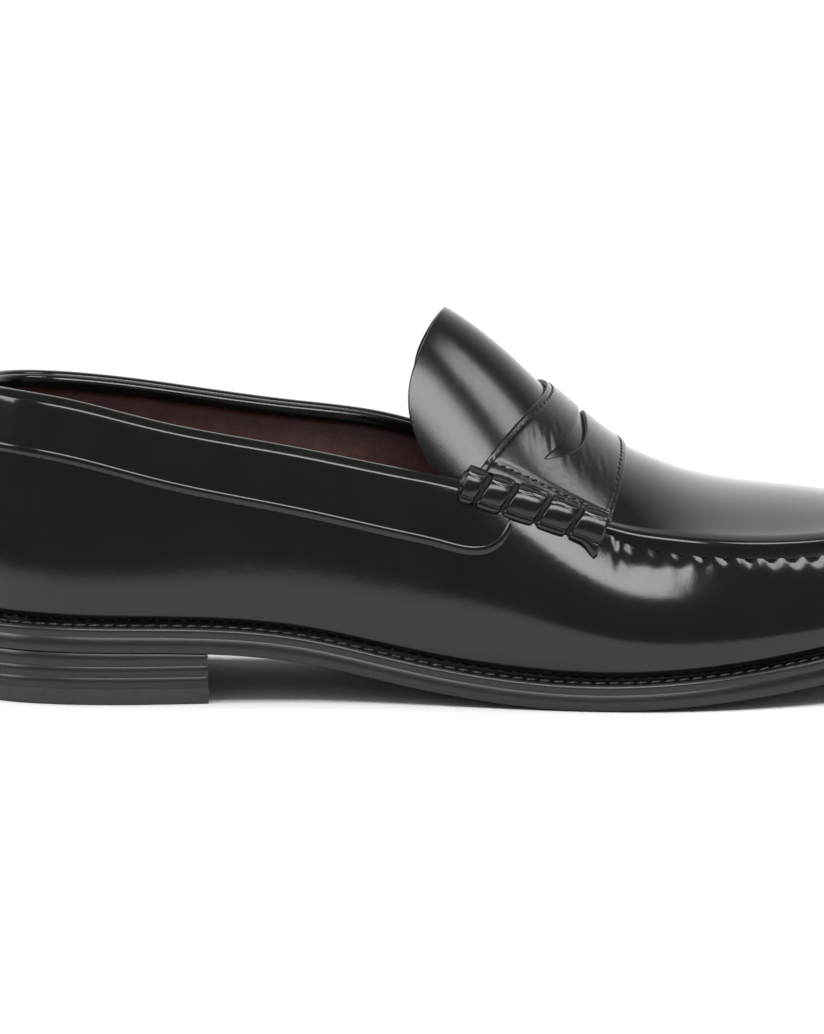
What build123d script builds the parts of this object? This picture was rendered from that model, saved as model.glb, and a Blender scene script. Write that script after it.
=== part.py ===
from build123d import *
import os
import numpy as np

# A right-foot penny loafer with beef rolls. Design frame: x from the back of the heel (0) to the
# toe, y negative on the outer (little toe) side, z up from the floor. The last step moves it so
# that the origin is under the middle of the outsole.

# ---- driving dimensions (mm) --------------------------------------------------------------------
LENGTH = 300.0  # outsole, heel back to toe

# Half of the outsole's edge at a time: (x, y) going round from the heel back by the outer side.
SOLE_EDGE = [
    (0, 0), (8.5, -23), (30, -33.2), (62, -35), (97, -34.2), (130, -39.5), (165, -48.5), (200, -53),
    (236, -48), (266, -36.5), (289, -19), (LENGTH, 4), (295, 26), (275, 42), (244, 51), (208, 53),
    (178, 47.5), (148, 37), (112, 29.8), (78, 31), (45, 34), (14, 27),
]

# Height of the outsole's underside along x: heel seat, shank spring, ball on the floor, toe spring.
SOLE_LIFT_X = [0, 40, 75, 100, 126, 152, 178, 205, 228, 262, LENGTH]
SOLE_LIFT_Z = [15.2, 14.7, 13.8, 10.9, 5.5, 1.5, 0, 1.0, 3.2, 8.2, 15.0]

SOLE_THICK = 4.6
WELT_THICK = 2.9
WELT_WIDE = 10.0
INSOLE_THICK = 3.0
SOCK_THICK = 1.0
HEEL_PAD_THICK = 2.0
HEEL_PAD_END_X = 80.0

HEEL_BREAST_X = 72.0  # front of the heel block at its sides
HEEL_BREAST_R = 95.0  # the breast is hollow, on this radius
TOP_PIECE_THICK = 4.5
LIFT_THICK = 3.2
NAIL_SHANK_R = 0.8
NAIL_HEAD_R = 1.6
NAIL_HEAD_THICK = 0.8
NAIL_LENGTH = 9.0
NAIL_SEATS = [(12, 0), (20, -18), (20, 18), (40, -25), (40, 25), (60, -25), (60, 25)]

SHANK_START_X = 52.0
SHANK_LENGTH = 98.0
SHANK_WIDE = 14.0
SHANK_THICK = 1.2
SEAT_FILLER_END_X = 78.0

UPPER_THICK = 1.4
BAND_THICK = 1.0
LINING_THICK = 0.9
STIFFENER_THICK = 1.0
GLUE = 0.1  # gap left between glued curved faces
SEAM_PLAY = 0.3  # and where one crosses the back seam
BINDING_TALL = 3.0
THREAD = 0.6

FOOT_INSET = 5.8  # the upper meets the welt this far inside the outsole's edge
# Ribs of the last's side wall: (x, side, top height, top inset from the sole edge, belly, reach).
# Belly bulges the wall outwards low down, and reach keeps it upright before it leans in.
RIBS = [
    (0, -1, 88.0, 6.5, 4.0, 3.0), (32, -1, 85.2, 9.5, 1.8, 3.9), (60, -1, 78.8, 8.5, 1.1, 3.1),
    (96, -1, 71.7, 6.8, 1.2, 2.2), (124, -1, 66.1, 7.2, 1.6, 2.8), (140, -1, 63.0, 8.2, 2.3, 4.4),
    (165, -1, 54.6, 10.5, 3.5, 8.0), (188, -1, 46.6, 12.8, 3.5, 8.0), (214, -1, 42.7, 11.5, 2.6, 5.0),
    (240, -1, 41.2, 11.5, 2.6, 5.0), (270, -1, 41.8, 12.0, 2.8, 5.0), (300, -1, 43.5, 13.0, 3.0, 5.0),
    (270, 1, 42.8, 12.0, 2.8, 5.0), (240, 1, 42.8, 11.5, 2.6, 5.0), (214, 1, 44.8, 11.5, 2.6, 5.0),
    (188, 1, 49.0, 12.8, 3.5, 8.0), (165, 1, 57.5, 10.5, 3.5, 8.0), (141, 1, 67.5, 6.0, 2.5, 4.0),
    (128, 1, 71.9, 3.5, 1.5, 2.0), (98, 1, 77.0, 3.5, 0.8, 1.6), (60, 1, 82.7, 7.5, 1.4, 2.8),
    (31, 1, 85.8, 7.0, 3.0, 3.0),
]

# Height of the instep's ridge along x, from above the tongue's tip down to the toe.
RIDGE_X = [118, 130, 141.7, 161.3, 170, 183.6, 194.1, 200.5, 209.3, 221, 232.6, 250, 262]
RIDGE_Z = [127, 118, 108.9, 92.9, 84.9, 73.1, 65.7, 62.6, 59.1, 56, 54.2, 52, 50]
FULL_ARCH_END_X = 262.0  # from here to the toe the plug keeps one curvature

BAND_END_X = 155.6  # the collar band's front end, which is cut round from BAND_ROUND_X on
BAND_ROUND_X = 138.0
BAND_ROUND_LONG = 18.4
BAND_DROP = 14.2  # height of the band below the top line at the heel
BAND_DROP_GROWTH = 0.0125  # and how much taller it gets for each mm towards the front
BAND_STITCH_UP = 1.9  # its stitch row lies this far above its lower edge

WELT_STITCH_INSET = 2.9
SEAM_STITCH_DROP = 1.9  # the hand-sewn row lies this far below the top line
STITCH_HIGH = 0.4  # thread stands this far out of the leather
THREAD_PLAY = 0.05

BACK_STRIP_HALF = 0.0125  # half width of the back strip, as a share of the way round the outline
BACK_SEAM_HALF = 0.0003
COUNTER_HALF = 0.115  # reach of the heel counter from the back seam, as the same share
PUFF_HALF = 0.07  # reach of the toe puff from the toe
STIFFENER_LOW = 0.05  # stiffeners run between these shares of the wall's height
STIFFENER_HIGH = 0.68
LINING_SPLIT_X = 150.0  # quarter and vamp linings meet here

ROLL_REAR_X = 141.6
ROLL_FRONT_X = 182.4
ROLL_PUFF_R = 5.3
ROLL_GROOVE_R = 4.3
ROLL_GROOVE_WIDE = 1.5
ROLL_GROOVES = [0.152, 0.335, 0.566, 0.787]  # where they are, as shares of the roll's length
ROLL_STAND_OFF = 2.4  # the roll's axis stands this far out of the wall's face
ROLL_SEAT_R = 5.7

JOIN_X = 181.0  # tongue and plug meet here, hidden by the saddle strap
TONGUE_REACH = 0.94
# The tongue's free edge: x at each share of the instep's half width. The inner wing is shorter.
TONGUE_EDGE_V = [
    -TONGUE_REACH, -0.85, -0.75, -0.6, -0.44, -0.22, 0, 0.22, 0.44, 0.6, 0.75, 0.85, TONGUE_REACH,
]
TONGUE_EDGE_X = [
    133.2, 129.6, 129.3, 132.2, 135.6, 139.2, 141.2, 140.9, 138.6, 136.0, 133.6, 133.4, 136.0,
]
STRAP_REACH = 0.93  # how far down the instep the strap runs, as a share of its half width
STRAP_BACK_THICK = 0.6
STRAP_THICK = 1.3
STRAP_LIFT = GLUE + STRAP_BACK_THICK + GLUE
STRAP_STITCH_IN = 1.5  # its stitch rows lie this far inside its edges
STRAP_BACK_IN = 1.5
SLOT_END = 0.77
SLOT_FRONT_X = 180.0

# Cutting tools reach past the shoe by these coordinates.
CUT_START_X = -5.0
CUT_END_X = 305.0
CUT_HEIGHT = 140.0


# ---- shape helpers ------------------------------------------------------------------------------
def spline(knots, values, closed=False):
    """Cubic curve through the values, which may be vectors: natural ends, or closed on itself."""
    x = np.asarray(knots, float)
    y = np.asarray(values, float)
    flat = y.ndim == 1
    y = y.reshape(len(x), -1)
    last = len(x) - 1
    step = np.diff(x)
    system = np.zeros((last + 1, last + 1))
    right = np.zeros_like(y)
    for i in range(1, last):
        system[i, i - 1:i + 2] = step[i - 1], 2 * (step[i - 1] + step[i]), step[i]
        right[i] = 6 * ((y[i + 1] - y[i]) / step[i] - (y[i] - y[i - 1]) / step[i - 1])
    if closed:
        system[0, [0, 1, last - 1]] = 2 * (step[0] + step[-1]), step[0], step[-1]
        right[0] = 6 * ((y[1] - y[0]) / step[0] - (y[last] - y[last - 1]) / step[-1])
        system[last, [0, last]] = -1, 1
    else:
        system[0, 0] = 1
        system[last, last] = 1
    bend = np.linalg.solve(system, right)

    def value(at):
        at = np.asarray(at, float)
        if closed:
            at = x[0] + np.mod(at - x[0], x[-1] - x[0])
        i = np.clip(np.searchsorted(x, at, side="right") - 1, 0, last - 1)
        span = step[i][..., None]
        before = (at - x[i])[..., None]
        after = (x[i + 1] - at)[..., None]
        result = (bend[i] * after ** 3 + bend[i + 1] * before ** 3) / (6 * span)
        result += (y[i] / span - bend[i] * span / 6) * after
        result += (y[i + 1] / span - bend[i + 1] * span / 6) * before
        return result[..., 0] if flat else result

    return value


def smooth_step(low, high, value):
    """0 below low, 1 above high, and a smooth rise between."""
    t = np.clip((value - low) / (high - low), 0, 1)
    return t * t * (3 - 2 * t)


def points(array):
    """Rows of numbers as build123d points."""
    return [Vector(*row) for row in array]


def loop_face(xy):
    """Flat face at z = 0 inside a smooth closed curve through the points."""
    curve = Edge.make_spline(points(np.c_[xy, np.zeros(len(xy))]), periodic=True)
    return Face(Wire([curve]))


def side_band(low, high, start_x, end_x, wide=130.0):
    """Solid between two heights given as functions of x, all the way across the shoe."""
    x = np.linspace(start_x, end_x, 41)
    y = np.full_like(x, -wide / 2)
    under = Edge.make_spline(points(np.c_[x, y, low(x)]))
    over = Edge.make_spline(points(np.c_[x, y, high(x)]))
    back = Edge.make_line(under @ 0, over @ 0)
    front = Edge.make_line(under @ 1, over @ 1)
    return Solid.extrude(Face(Wire([under, front, over, back])), Vector(0, wide, 0))


def skin(grid):
    """Smooth face through a grid of points."""
    return Face.make_surface_from_array_of_points([points(row) for row in grid], tol=0.02, min_deg=3)


def edge_at(face, point):
    """The edge of a face that passes nearest to a point."""
    return face.edges().sort_by_distance(Vector(*point))[0]


def slab(outer, inner):
    """Solid between two grids of points with the same rows and columns."""
    over = skin(outer)
    under = skin(inner)
    rows, columns = outer.shape[:2]
    middles = [(0, columns // 2), (rows - 1, columns // 2), (rows // 2, 0), (rows // 2, columns - 1)]
    walls = [
        Face.make_surface_from_curves(edge_at(over, outer[m]), edge_at(under, inner[m])) for m in middles
    ]
    return Solid(Shell([over, under] + walls))


def one_solid(shape):
    """The largest solid of a cut result, which drops slivers."""
    return max(shape.solids(), key=lambda solid: solid.volume)


# ---- outsole outline and the last's shape -------------------------------------------------------
_edge = np.array(SOLE_EDGE + SOLE_EDGE[:1], float)
_run = np.r_[0, np.cumsum(np.linalg.norm(np.diff(_edge, axis=0), axis=1))]
outline = spline(_run / _run[-1], _edge, closed=True)  # 0 to 1 round the outsole from the heel back
sole_under = spline(SOLE_LIFT_X, SOLE_LIFT_Z)


def outward(u):
    """Unit normals of the outsole's edge, pointing out."""
    along = outline(u + 1e-5) - outline(u - 1e-5)
    along /= np.linalg.norm(along, axis=-1, keepdims=True)
    return np.stack([along[..., 1], -along[..., 0]], -1)


def inset_loop(distance, count=96):
    """Points of the outsole's edge moved inwards."""
    u = np.arange(count) / count
    return outline(u) - distance * outward(u)


def welt_top(x):
    return sole_under(x) + SOLE_THICK + WELT_THICK


def round_at(x, side):
    """Place on the outsole's edge (0 to 1) of the given x on one side."""
    u = np.linspace(0, TOE_U, 4001) if side < 0 else np.linspace(TOE_U, 1, 4001)
    return float(u[np.argmin(np.abs(outline(u)[:, 0] - x))])


TOE_U = float(np.linspace(0.4, 0.6, 4001)[np.argmax(outline(np.linspace(0.4, 0.6, 4001))[:, 0])])
_rib_u = [0.0] + [TOE_U if x == LENGTH else round_at(x, side) for x, side, *_ in RIBS[1:]] + [1.0]
_rib_values = [rib[2:] for rib in RIBS] + [RIBS[0][2:]]
rib_at = spline(_rib_u, _rib_values, closed=True)


def wall(u, h, out=0.0):
    """Point of the upper's outer face: u round the shoe, h from the welt (0) to the top line (1)."""
    u, h, out = np.broadcast_arrays(np.asarray(u, float), np.asarray(h, float), np.asarray(out, float))
    edge = outline(u)
    normal = outward(u)
    base = welt_top(edge[..., 0])
    top, inset, belly, reach = np.moveaxis(rib_at(u), -1, 0)
    rise = top - base
    insets = [np.full_like(inset, FOOT_INSET), FOOT_INSET - 1.9 * belly, inset - reach, inset]
    heights = [0 * rise, 0.26 * rise, 0.72 * rise, rise]
    weight = [(1 - h) ** 3, 3 * h * (1 - h) ** 2, 3 * h * h * (1 - h), h ** 3]
    slope = [-(1 - h) ** 2, (1 - h) ** 2 - 2 * h * (1 - h), 2 * h * (1 - h) - h * h, h * h]
    depth = sum(w * i for w, i in zip(weight, insets))
    height = sum(w * z for w, z in zip(weight, heights))
    depth_slope = sum(s * i for s, i in zip(slope, insets))
    height_slope = sum(s * z for s, z in zip(slope, heights))
    long = np.hypot(depth_slope, height_slope)
    depth = depth - out * height_slope / long
    height = height + out * depth_slope / long
    flat = edge - depth[..., None] * normal
    return np.concatenate([flat, (base + height)[..., None]], -1)


def rib_rise(u):
    """Height of the wall above the welt."""
    return rib_at(u)[..., 0] - welt_top(outline(u)[..., 0])


def below_top(u, drop):
    """The h of a line this many mm below the top line."""
    return 1 - drop / (0.84 * rib_rise(u))


def above_welt(u, rise):
    """The h of a line this many mm above the welt."""
    return rise / (0.78 * rib_rise(u))


def wall_slab(u0, u1, low, high, outer, inner, columns=61, rows=9):
    """Solid on the wall between two h lines and two offsets, each a function of u (and h)."""
    u = np.linspace(u0, u1, columns)[:, None] * np.ones(rows)
    share = np.linspace(0, 1, rows)
    h = low(u) * (1 - share) + high(u) * share
    return slab(wall(u, h, outer(u, h)), wall(u, h, inner(u, h)))


def flat_offset(out):
    """An offset that is the same everywhere on the wall."""
    return lambda u, h: np.full_like(h, out)


_x = np.linspace(118, 282, 83)
_round = wall(np.linspace(0.02, 0.98, 8001), 1.0)
_tip = int(np.argmax(_round[:, 0]))
_outer = _round[:_tip]
_inner = _round[_tip:][::-1]
_outer = np.array([np.interp(_x, _outer[:, 0], _outer[:, i]) for i in (1, 2)])
_inner = np.array([np.interp(_x, _inner[:, 0], _inner[:, i]) for i in (1, 2)])
_half = (_inner[0] - _outer[0]) / 2
_middle_z = (_inner[1] + _outer[1]) / 2
_ridge = spline(RIDGE_X, RIDGE_Z)(np.minimum(_x, FULL_ARCH_END_X))
_curve = (_ridge - _middle_z) / _half ** 2
_curve[_x > FULL_ARCH_END_X] = np.interp(FULL_ARCH_END_X, _x, _curve)
_tilt = (_inner[1] - _outer[1]) / (2 * _half)
# Along x: the middle's y, its base height, the squared half width, the curvature and the tilt.
section = spline(_x, np.c_[(_inner[0] + _outer[0]) / 2, _middle_z, _half ** 2, _curve, _tilt])


def instep(x, y, out=0.0):
    """Point of the instep's surface above (x, y), moved along its normal."""
    def height(x, y):
        middle, base, half_squared, curve, tilt = np.moveaxis(section(x), -1, 0)
        return base + tilt * (y - middle) + curve * (half_squared - (y - middle) ** 2)

    x, y = np.broadcast_arrays(np.asarray(x, float), np.asarray(y, float))
    z = height(x, y)
    slope_x = (height(x + 0.05, y) - height(x - 0.05, y)) / 0.1
    slope_y = (height(x, y + 0.05) - height(x, y - 0.05)) / 0.1
    normal = np.stack([-slope_x, -slope_y, np.ones_like(z)], -1)
    normal /= np.linalg.norm(normal, axis=-1, keepdims=True)
    return np.stack([x, y, z], -1) + out * normal


def across(x, v):
    """The y at a share v of the instep's half width, -1 at the outer side and 1 at the inner."""
    return section(x)[..., 0] + v * np.sqrt(section(x)[..., 2])


def instep_slab(rear, front, reach, top, bottom, columns=31, rows=9):
    """Solid on the instep between two cross lines, given as x for each share v."""
    v = np.linspace(-reach, reach, columns)[:, None] * np.ones(rows)
    share = np.linspace(0, 1, rows)
    x = rear(np.abs(v)) * (1 - share) + front(np.abs(v)) * share
    y = across(x, v)
    return slab(instep(x, y, top), instep(x, y, bottom))


# ---- bottom: outsole, welt, heel and what lies inside -------------------------------------------
def make_outsole():
    """Leather outsole, one thickness from heel to toe."""
    plan = Solid.extrude(loop_face(inset_loop(0)), Vector(0, 0, CUT_HEIGHT))
    layer = side_band(sole_under, lambda x: sole_under(x) + SOLE_THICK, CUT_START_X, CUT_END_X)
    return one_solid(plan & layer)


def sole_layer(inset, low, high, start_x=CUT_START_X, end_x=CUT_END_X):
    """A layer that follows the sole between two heights above its underside."""
    plan = Solid.extrude(loop_face(inset_loop(inset)), Vector(0, 0, CUT_HEIGHT))
    return one_solid(plan & side_band(low, high, start_x, end_x))


def make_welt():
    """Leather strip round the outsole's edge, under the foot of the upper."""
    plan = loop_face(inset_loop(0)) - loop_face(inset_loop(WELT_WIDE))
    ring = Solid.extrude(plan.faces()[0], Vector(0, 0, CUT_HEIGHT))
    band = side_band(lambda x: sole_under(x) + SOLE_THICK + GLUE, welt_top, CUT_START_X, CUT_END_X)
    return one_solid(ring & band)


def make_welt_stitching():
    """Lockstitch row on the welt, as one low ridge of thread."""
    plan = loop_face(inset_loop(WELT_STITCH_INSET)) - loop_face(inset_loop(WELT_STITCH_INSET + THREAD))
    ring = Solid.extrude(plan.faces()[0], Vector(0, 0, CUT_HEIGHT))
    band = side_band(lambda x: welt_top(x) + THREAD_PLAY, lambda x: welt_top(x) + THREAD_PLAY + STITCH_HIGH,
                     CUT_START_X, CUT_END_X)
    return one_solid(ring & band)


def make_nail(x, y, gap=0.0):
    """One heel nail, head down, 0.3 mm inside the top piece's face. The gap is its hole's play."""
    start = Plane((x, y, 0.3 - gap))
    head = Solid.make_cylinder(NAIL_HEAD_R + gap, NAIL_HEAD_THICK + 2 * gap, start)
    shank = Solid.make_cylinder(NAIL_SHANK_R + gap, NAIL_LENGTH + 2 * gap, start)
    return one_solid(head + shank)


def make_nail_hole(x, y):
    """What a nail takes out of the heel, with the small recess that its head sits in."""
    recess = Solid.make_cylinder(NAIL_HEAD_R + 0.05, 1.0, Plane((x, y, -0.5)))
    return one_solid(make_nail(x, y, gap=0.05) + recess)


def heel_parts():
    """Rubber top piece and stacked leather lifts, flush with the outsole's edge."""
    plan = Solid.extrude(loop_face(inset_loop(0)), Vector(0, 0, CUT_HEIGHT))
    centre_x = HEEL_BREAST_X + np.sqrt(HEEL_BREAST_R ** 2 - 34.0 ** 2)
    plan = plan & Solid.make_box(200, 200, 60, Plane((-5, -100, 0)))
    block = plan - Solid.make_cylinder(HEEL_BREAST_R, 60, Plane((centre_x, 0, 0)))
    block = min(block.solids(), key=lambda solid: solid.center().X)
    block = one_solid(block & side_band(lambda x: 0 * x, lambda x: sole_under(x) - GLUE, -5, 110))
    holes = [make_nail_hole(x, y) for x, y in NAIL_SEATS]
    heights = [0, TOP_PIECE_THICK, TOP_PIECE_THICK + LIFT_THICK, TOP_PIECE_THICK + 2 * LIFT_THICK, 40]
    names = ["heel_top_piece", "heel_lift_3", "heel_lift_2", "heel_lift_1"]
    parts = {}
    for name, low, high in zip(names, heights, heights[1:]):
        layer = block & Solid.make_box(200, 200, high - low, Plane((-20, -100, low)))
        for hole in holes:
            layer = layer - hole
        parts[name] = one_solid(layer)
    parts["heel_nails"] = Compound([make_nail(x, y) for x, y in NAIL_SEATS])
    return parts


def make_shank():
    """Flat spring-steel shank bedded between insole and outsole."""
    plan = Solid.make_box(SHANK_LENGTH, SHANK_WIDE, 60, Plane((SHANK_START_X, -SHANK_WIDE / 2, 0)))
    low = SOLE_THICK + 1.0
    return one_solid(plan & side_band(
        lambda x: sole_under(x) + low, lambda x: sole_under(x) + low + SHANK_THICK, 30, 200))


def filler_parts():
    """Cork under the forepart and waist, and a leather-board seat filler, grooved for the shank."""
    play = 0.2
    groove = Solid.make_box(SHANK_LENGTH + 2 * play, SHANK_WIDE + 2 * play, 60,
                            Plane((SHANK_START_X - play, -SHANK_WIDE / 2 - play, 0)))
    groove = groove & side_band(lambda x: sole_under(x) + SOLE_THICK + 0.9, lambda x: 0 * x + 50, 30, 200)
    spans = {"heel_seat_filler": (-5.0, SEAT_FILLER_END_X), "cork_filler": (SEAT_FILLER_END_X + 0.3, 305.0)}
    parts = {}
    for name, (start_x, end_x) in spans.items():
        layer = sole_layer(WELT_WIDE + 0.3, lambda x: sole_under(x) + SOLE_THICK + GLUE,
                           lambda x: welt_top(x) - GLUE, start_x, end_x)
        parts[name] = one_solid(layer - groove)
    return parts


def insole_top(x):
    return welt_top(x) + GLUE + INSOLE_THICK


def pad_height(x):
    """The heel pad's thickness: full under the heel, thinning to its front edge."""
    return 0.3 + (HEEL_PAD_THICK - 0.3) * (1 - smooth_step(55.0, HEEL_PAD_END_X, x))


def sock_base(x):
    """Underside of the sock liner, which climbs over the heel pad."""
    return insole_top(x) + GLUE + (pad_height(x) + GLUE) * (1 - smooth_step(HEEL_PAD_END_X, 90.0, x))


# ---- upper: one wall round the shoe, its overlays and its linings --------------------------------
def collar_drop(u):
    """How far the wall stops below the top line: under the binding at the collar, nil in front."""
    x = outline(u)[..., 0]
    return (BINDING_TALL + SEAM_PLAY) * (1 - smooth_step(139.0, 150.0, x))


def make_moccasin_wall():
    """The moccasin body: one strip from the back seam round the toe and back."""
    return wall_slab(
        BACK_SEAM_HALF, 1 - BACK_SEAM_HALF,
        lambda u: above_welt(u, GLUE), lambda u: below_top(u, collar_drop(u)),
        flat_offset(0), flat_offset(-UPPER_THICK), columns=121)


def band_drop(u):
    """Height of the collar band below the top line, with its rounded front end."""
    x = np.minimum(outline(u)[..., 0], BAND_END_X)
    share = np.clip((x - BAND_ROUND_X) / BAND_ROUND_LONG, 0, 1)
    return (BAND_DROP + BAND_DROP_GROWTH * x) * (1 - share ** 2.6) ** (1 / 2.6)


def make_collar_band():
    """Overlay round the heel from one beef roll to the other."""
    return wall_slab(
        round_at(BAND_END_X, 1) - 1, round_at(BAND_END_X, -1), lambda u: below_top(u, band_drop(u)),
        lambda u: below_top(u, np.minimum(collar_drop(u), band_drop(u) - 1.0)),
        flat_offset(GLUE + BAND_THICK), flat_offset(GLUE), columns=121)


def make_collar_stitching():
    """Thread row along the band's lower edge."""
    face = GLUE + BAND_THICK + THREAD_PLAY
    return wall_slab(
        round_at(BAND_ROUND_X, 1) - 1, round_at(BAND_ROUND_X, -1),
        lambda u: below_top(u, band_drop(u) - BAND_STITCH_UP),
        lambda u: below_top(u, band_drop(u) - BAND_STITCH_UP - THREAD),
        flat_offset(face + STITCH_HIGH), flat_offset(face), columns=91, rows=4)


def make_collar_binding():
    """Rolled leather binding that caps wall, band and lining along the top line."""
    inside = UPPER_THICK + SEAM_PLAY + GLUE + LINING_THICK + 0.4
    return wall_slab(
        round_at(ROLL_REAR_X, 1) - 1, round_at(ROLL_REAR_X, -1), lambda u: below_top(u, BINDING_TALL),
        lambda u: 0 * u + 1, flat_offset(GLUE + BAND_THICK), flat_offset(-inside), columns=91, rows=5)


def make_back_strip():
    """Narrow strip over the back seam, between the welt and the collar band."""
    return wall_slab(
        -BACK_STRIP_HALF, BACK_STRIP_HALF,
        lambda u: above_welt(u, 0.6), lambda u: below_top(u, band_drop(u) + 0.3),
        flat_offset(SEAM_PLAY + BAND_THICK), flat_offset(SEAM_PLAY), columns=7)


def stiffener(u, h):
    """Thickness of the heel counter or toe puff at a place on the wall, nil away from them."""
    around = np.abs(np.mod(np.asarray(u) + 0.5, 1) - 0.5)
    heel = 1 - smooth_step(COUNTER_HALF - 0.012, COUNTER_HALF + 0.012, around)
    toe = 1 - smooth_step(PUFF_HALF - 0.012, PUFF_HALF + 0.012, np.abs(np.mod(u, 1) - TOE_U))
    fade = 1 - smooth_step(STIFFENER_HIGH - 0.1, STIFFENER_HIGH + 0.1, h)
    return STIFFENER_THICK * np.maximum(heel, toe) * fade


def make_stiffener(middle, half):
    """A heel counter or toe puff, between wall and lining."""
    face = UPPER_THICK + SEAM_PLAY
    return wall_slab(
        middle - half, middle + half,
        lambda u: 0 * u + STIFFENER_LOW, lambda u: 0 * u + STIFFENER_HIGH,
        flat_offset(-face), lambda u, h: -face - stiffener(u, h), columns=31)


def make_lining(u0, u1):
    """Lining of a stretch of the wall, from the insole to the binding or the seam."""
    face = UPPER_THICK + SEAM_PLAY + GLUE
    return wall_slab(
        u0, u1, lambda u: above_welt(u, GLUE),
        lambda u: below_top(u, np.maximum(collar_drop(u), 1.0)),
        lambda u, h: -face - stiffener(u, h), lambda u, h: -face - LINING_THICK - stiffener(u, h),
        columns=91)


def make_apron():
    """The plug: the raised top panel inside the moccasin seam, from under the strap to the toe."""
    x, y = np.meshgrid(np.linspace(JOIN_X + 0.3, 292, 29), np.linspace(-52, 52, 29), indexing="ij")
    sheet = slab(instep(x, y, 0), instep(x, y, -UPPER_THICK))
    u = np.linspace(round_at(160, -1), round_at(160, 1), 81)
    seam = wall(u, 1.0, -UPPER_THICK - 2 * GLUE)[:, :2]
    curve = Edge.make_spline(points(np.c_[seam, np.zeros(len(seam))]))
    close = Edge.make_line(curve @ 1, curve @ 0)
    return one_solid(sheet & Solid.extrude(Face(Wire([curve, close])), Vector(0, 0, CUT_HEIGHT)))


def make_apron_stitching():
    """Hand-sewn thread row round the toe, just below the seam."""
    return wall_slab(
        round_at(ROLL_FRONT_X + 5, -1), round_at(ROLL_FRONT_X + 5, 1),
        lambda u: below_top(u, SEAM_STITCH_DROP), lambda u: below_top(u, SEAM_STITCH_DROP - THREAD),
        flat_offset(THREAD_PLAY + STITCH_HIGH), flat_offset(THREAD_PLAY), columns=91, rows=4)


tongue_rear = spline(TONGUE_EDGE_V, TONGUE_EDGE_X)


def make_tongue():
    """Leather tongue, from its free edge to the plug under the strap."""
    return instep_slab(tongue_rear, lambda v: 0 * v + JOIN_X, TONGUE_REACH, 0, -UPPER_THICK)


def make_tongue_lining():
    """Lining under the tongue, set back a little from its edges."""
    return instep_slab(lambda v: tongue_rear(v) + 1.0, lambda v: 0 * v + JOIN_X, TONGUE_REACH - 0.03,
                       -UPPER_THICK - GLUE, -UPPER_THICK - GLUE - LINING_THICK)


# ---- saddle strap and beef rolls ----------------------------------------------------------------
def strap_rear(v):
    return 169.5 - 23.6 * v ** 2.1


def strap_front(v):
    return 192.0 - 7.5 * v ** 2


def slot_tool():
    """Prism through the penny slot: a crescent across the ridge, blunt at its front corners."""
    v = np.linspace(-SLOT_END, SLOT_END, 25)
    rear_x = 178.0 - 21.8 * np.abs(v) ** 2.6
    end_x = rear_x[0]
    front_x = end_x + (SLOT_FRONT_X - end_x) * (1 - (np.abs(v) / SLOT_END) ** 4.6)
    rear = Edge.make_spline(points(np.c_[rear_x, across(rear_x, v), 0 * v]))
    front = Edge.make_spline(points(np.c_[front_x, across(front_x, v), 0 * v]))
    return Solid.extrude(Face(Wire([rear, front])), Vector(0, 0, CUT_HEIGHT))


def make_saddle_strap():
    """Leather strap across the instep, with the penny slot cut through it."""
    strap = instep_slab(strap_rear, strap_front, STRAP_REACH, STRAP_LIFT + STRAP_THICK, STRAP_LIFT)
    return one_solid(strap - slot_tool())


def make_strap_backing():
    """Thin leather under the strap, seen through the slot."""
    return instep_slab(lambda v: strap_rear(v) + STRAP_BACK_IN, lambda v: strap_front(v) - STRAP_BACK_IN,
                       STRAP_REACH, GLUE + STRAP_BACK_THICK, GLUE)


def make_strap_stitching():
    """Thread rows just inside the strap's rear and front edges."""
    top = STRAP_LIFT + STRAP_THICK + THREAD_PLAY
    reach = STRAP_REACH - 0.05
    rear = instep_slab(lambda v: strap_rear(v) + STRAP_STITCH_IN,
                       lambda v: strap_rear(v) + STRAP_STITCH_IN + THREAD, reach,
                       top + STITCH_HIGH, top, rows=4)
    front = instep_slab(lambda v: strap_front(v) - STRAP_STITCH_IN - THREAD,
                        lambda v: strap_front(v) - STRAP_STITCH_IN, reach,
                        top + STITCH_HIGH, top, rows=4)
    return Compound([rear, front])


def roll_frame(side):
    """Plane at the rear end of a beef roll, its z along the roll, and the roll's length."""
    rear, front = [
        Vector(*wall(round_at(x, side), 1.0, ROLL_STAND_OFF)) for x in (ROLL_REAR_X, ROLL_FRONT_X)
    ]
    return Plane(origin=rear, z_dir=front - rear), (front - rear).length


def make_roll(side):
    """One beef roll: leather rolled up and bound, so that it swells between the bindings."""
    plane, length = roll_frame(side)
    half = ROLL_GROOVE_WIDE / 2
    starts = [0] + [share * length + half for share in ROLL_GROOVES]
    ends = [share * length - half for share in ROLL_GROOVES] + [length]
    profile = [Edge.make_line((0, 0, 0), (ROLL_GROOVE_R, 0, 0))]
    for low, high, following in zip(starts, ends, starts[1:] + [None]):
        profile.append(Edge.make_three_point_arc(
            (ROLL_GROOVE_R, 0, low), (ROLL_PUFF_R, 0, (low + high) / 2), (ROLL_GROOVE_R, 0, high)))
        if following is not None:
            profile.append(Edge.make_line((ROLL_GROOVE_R, 0, high), (ROLL_GROOVE_R, 0, following)))
    profile.append(Edge.make_line((ROLL_GROOVE_R, 0, length), (0, 0, length)))
    profile.append(Edge.make_line((0, 0, length), (0, 0, 0)))
    body = Solid.revolve(Face(Wire(profile)), 360, Axis.Z)
    return plane.location * body


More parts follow.
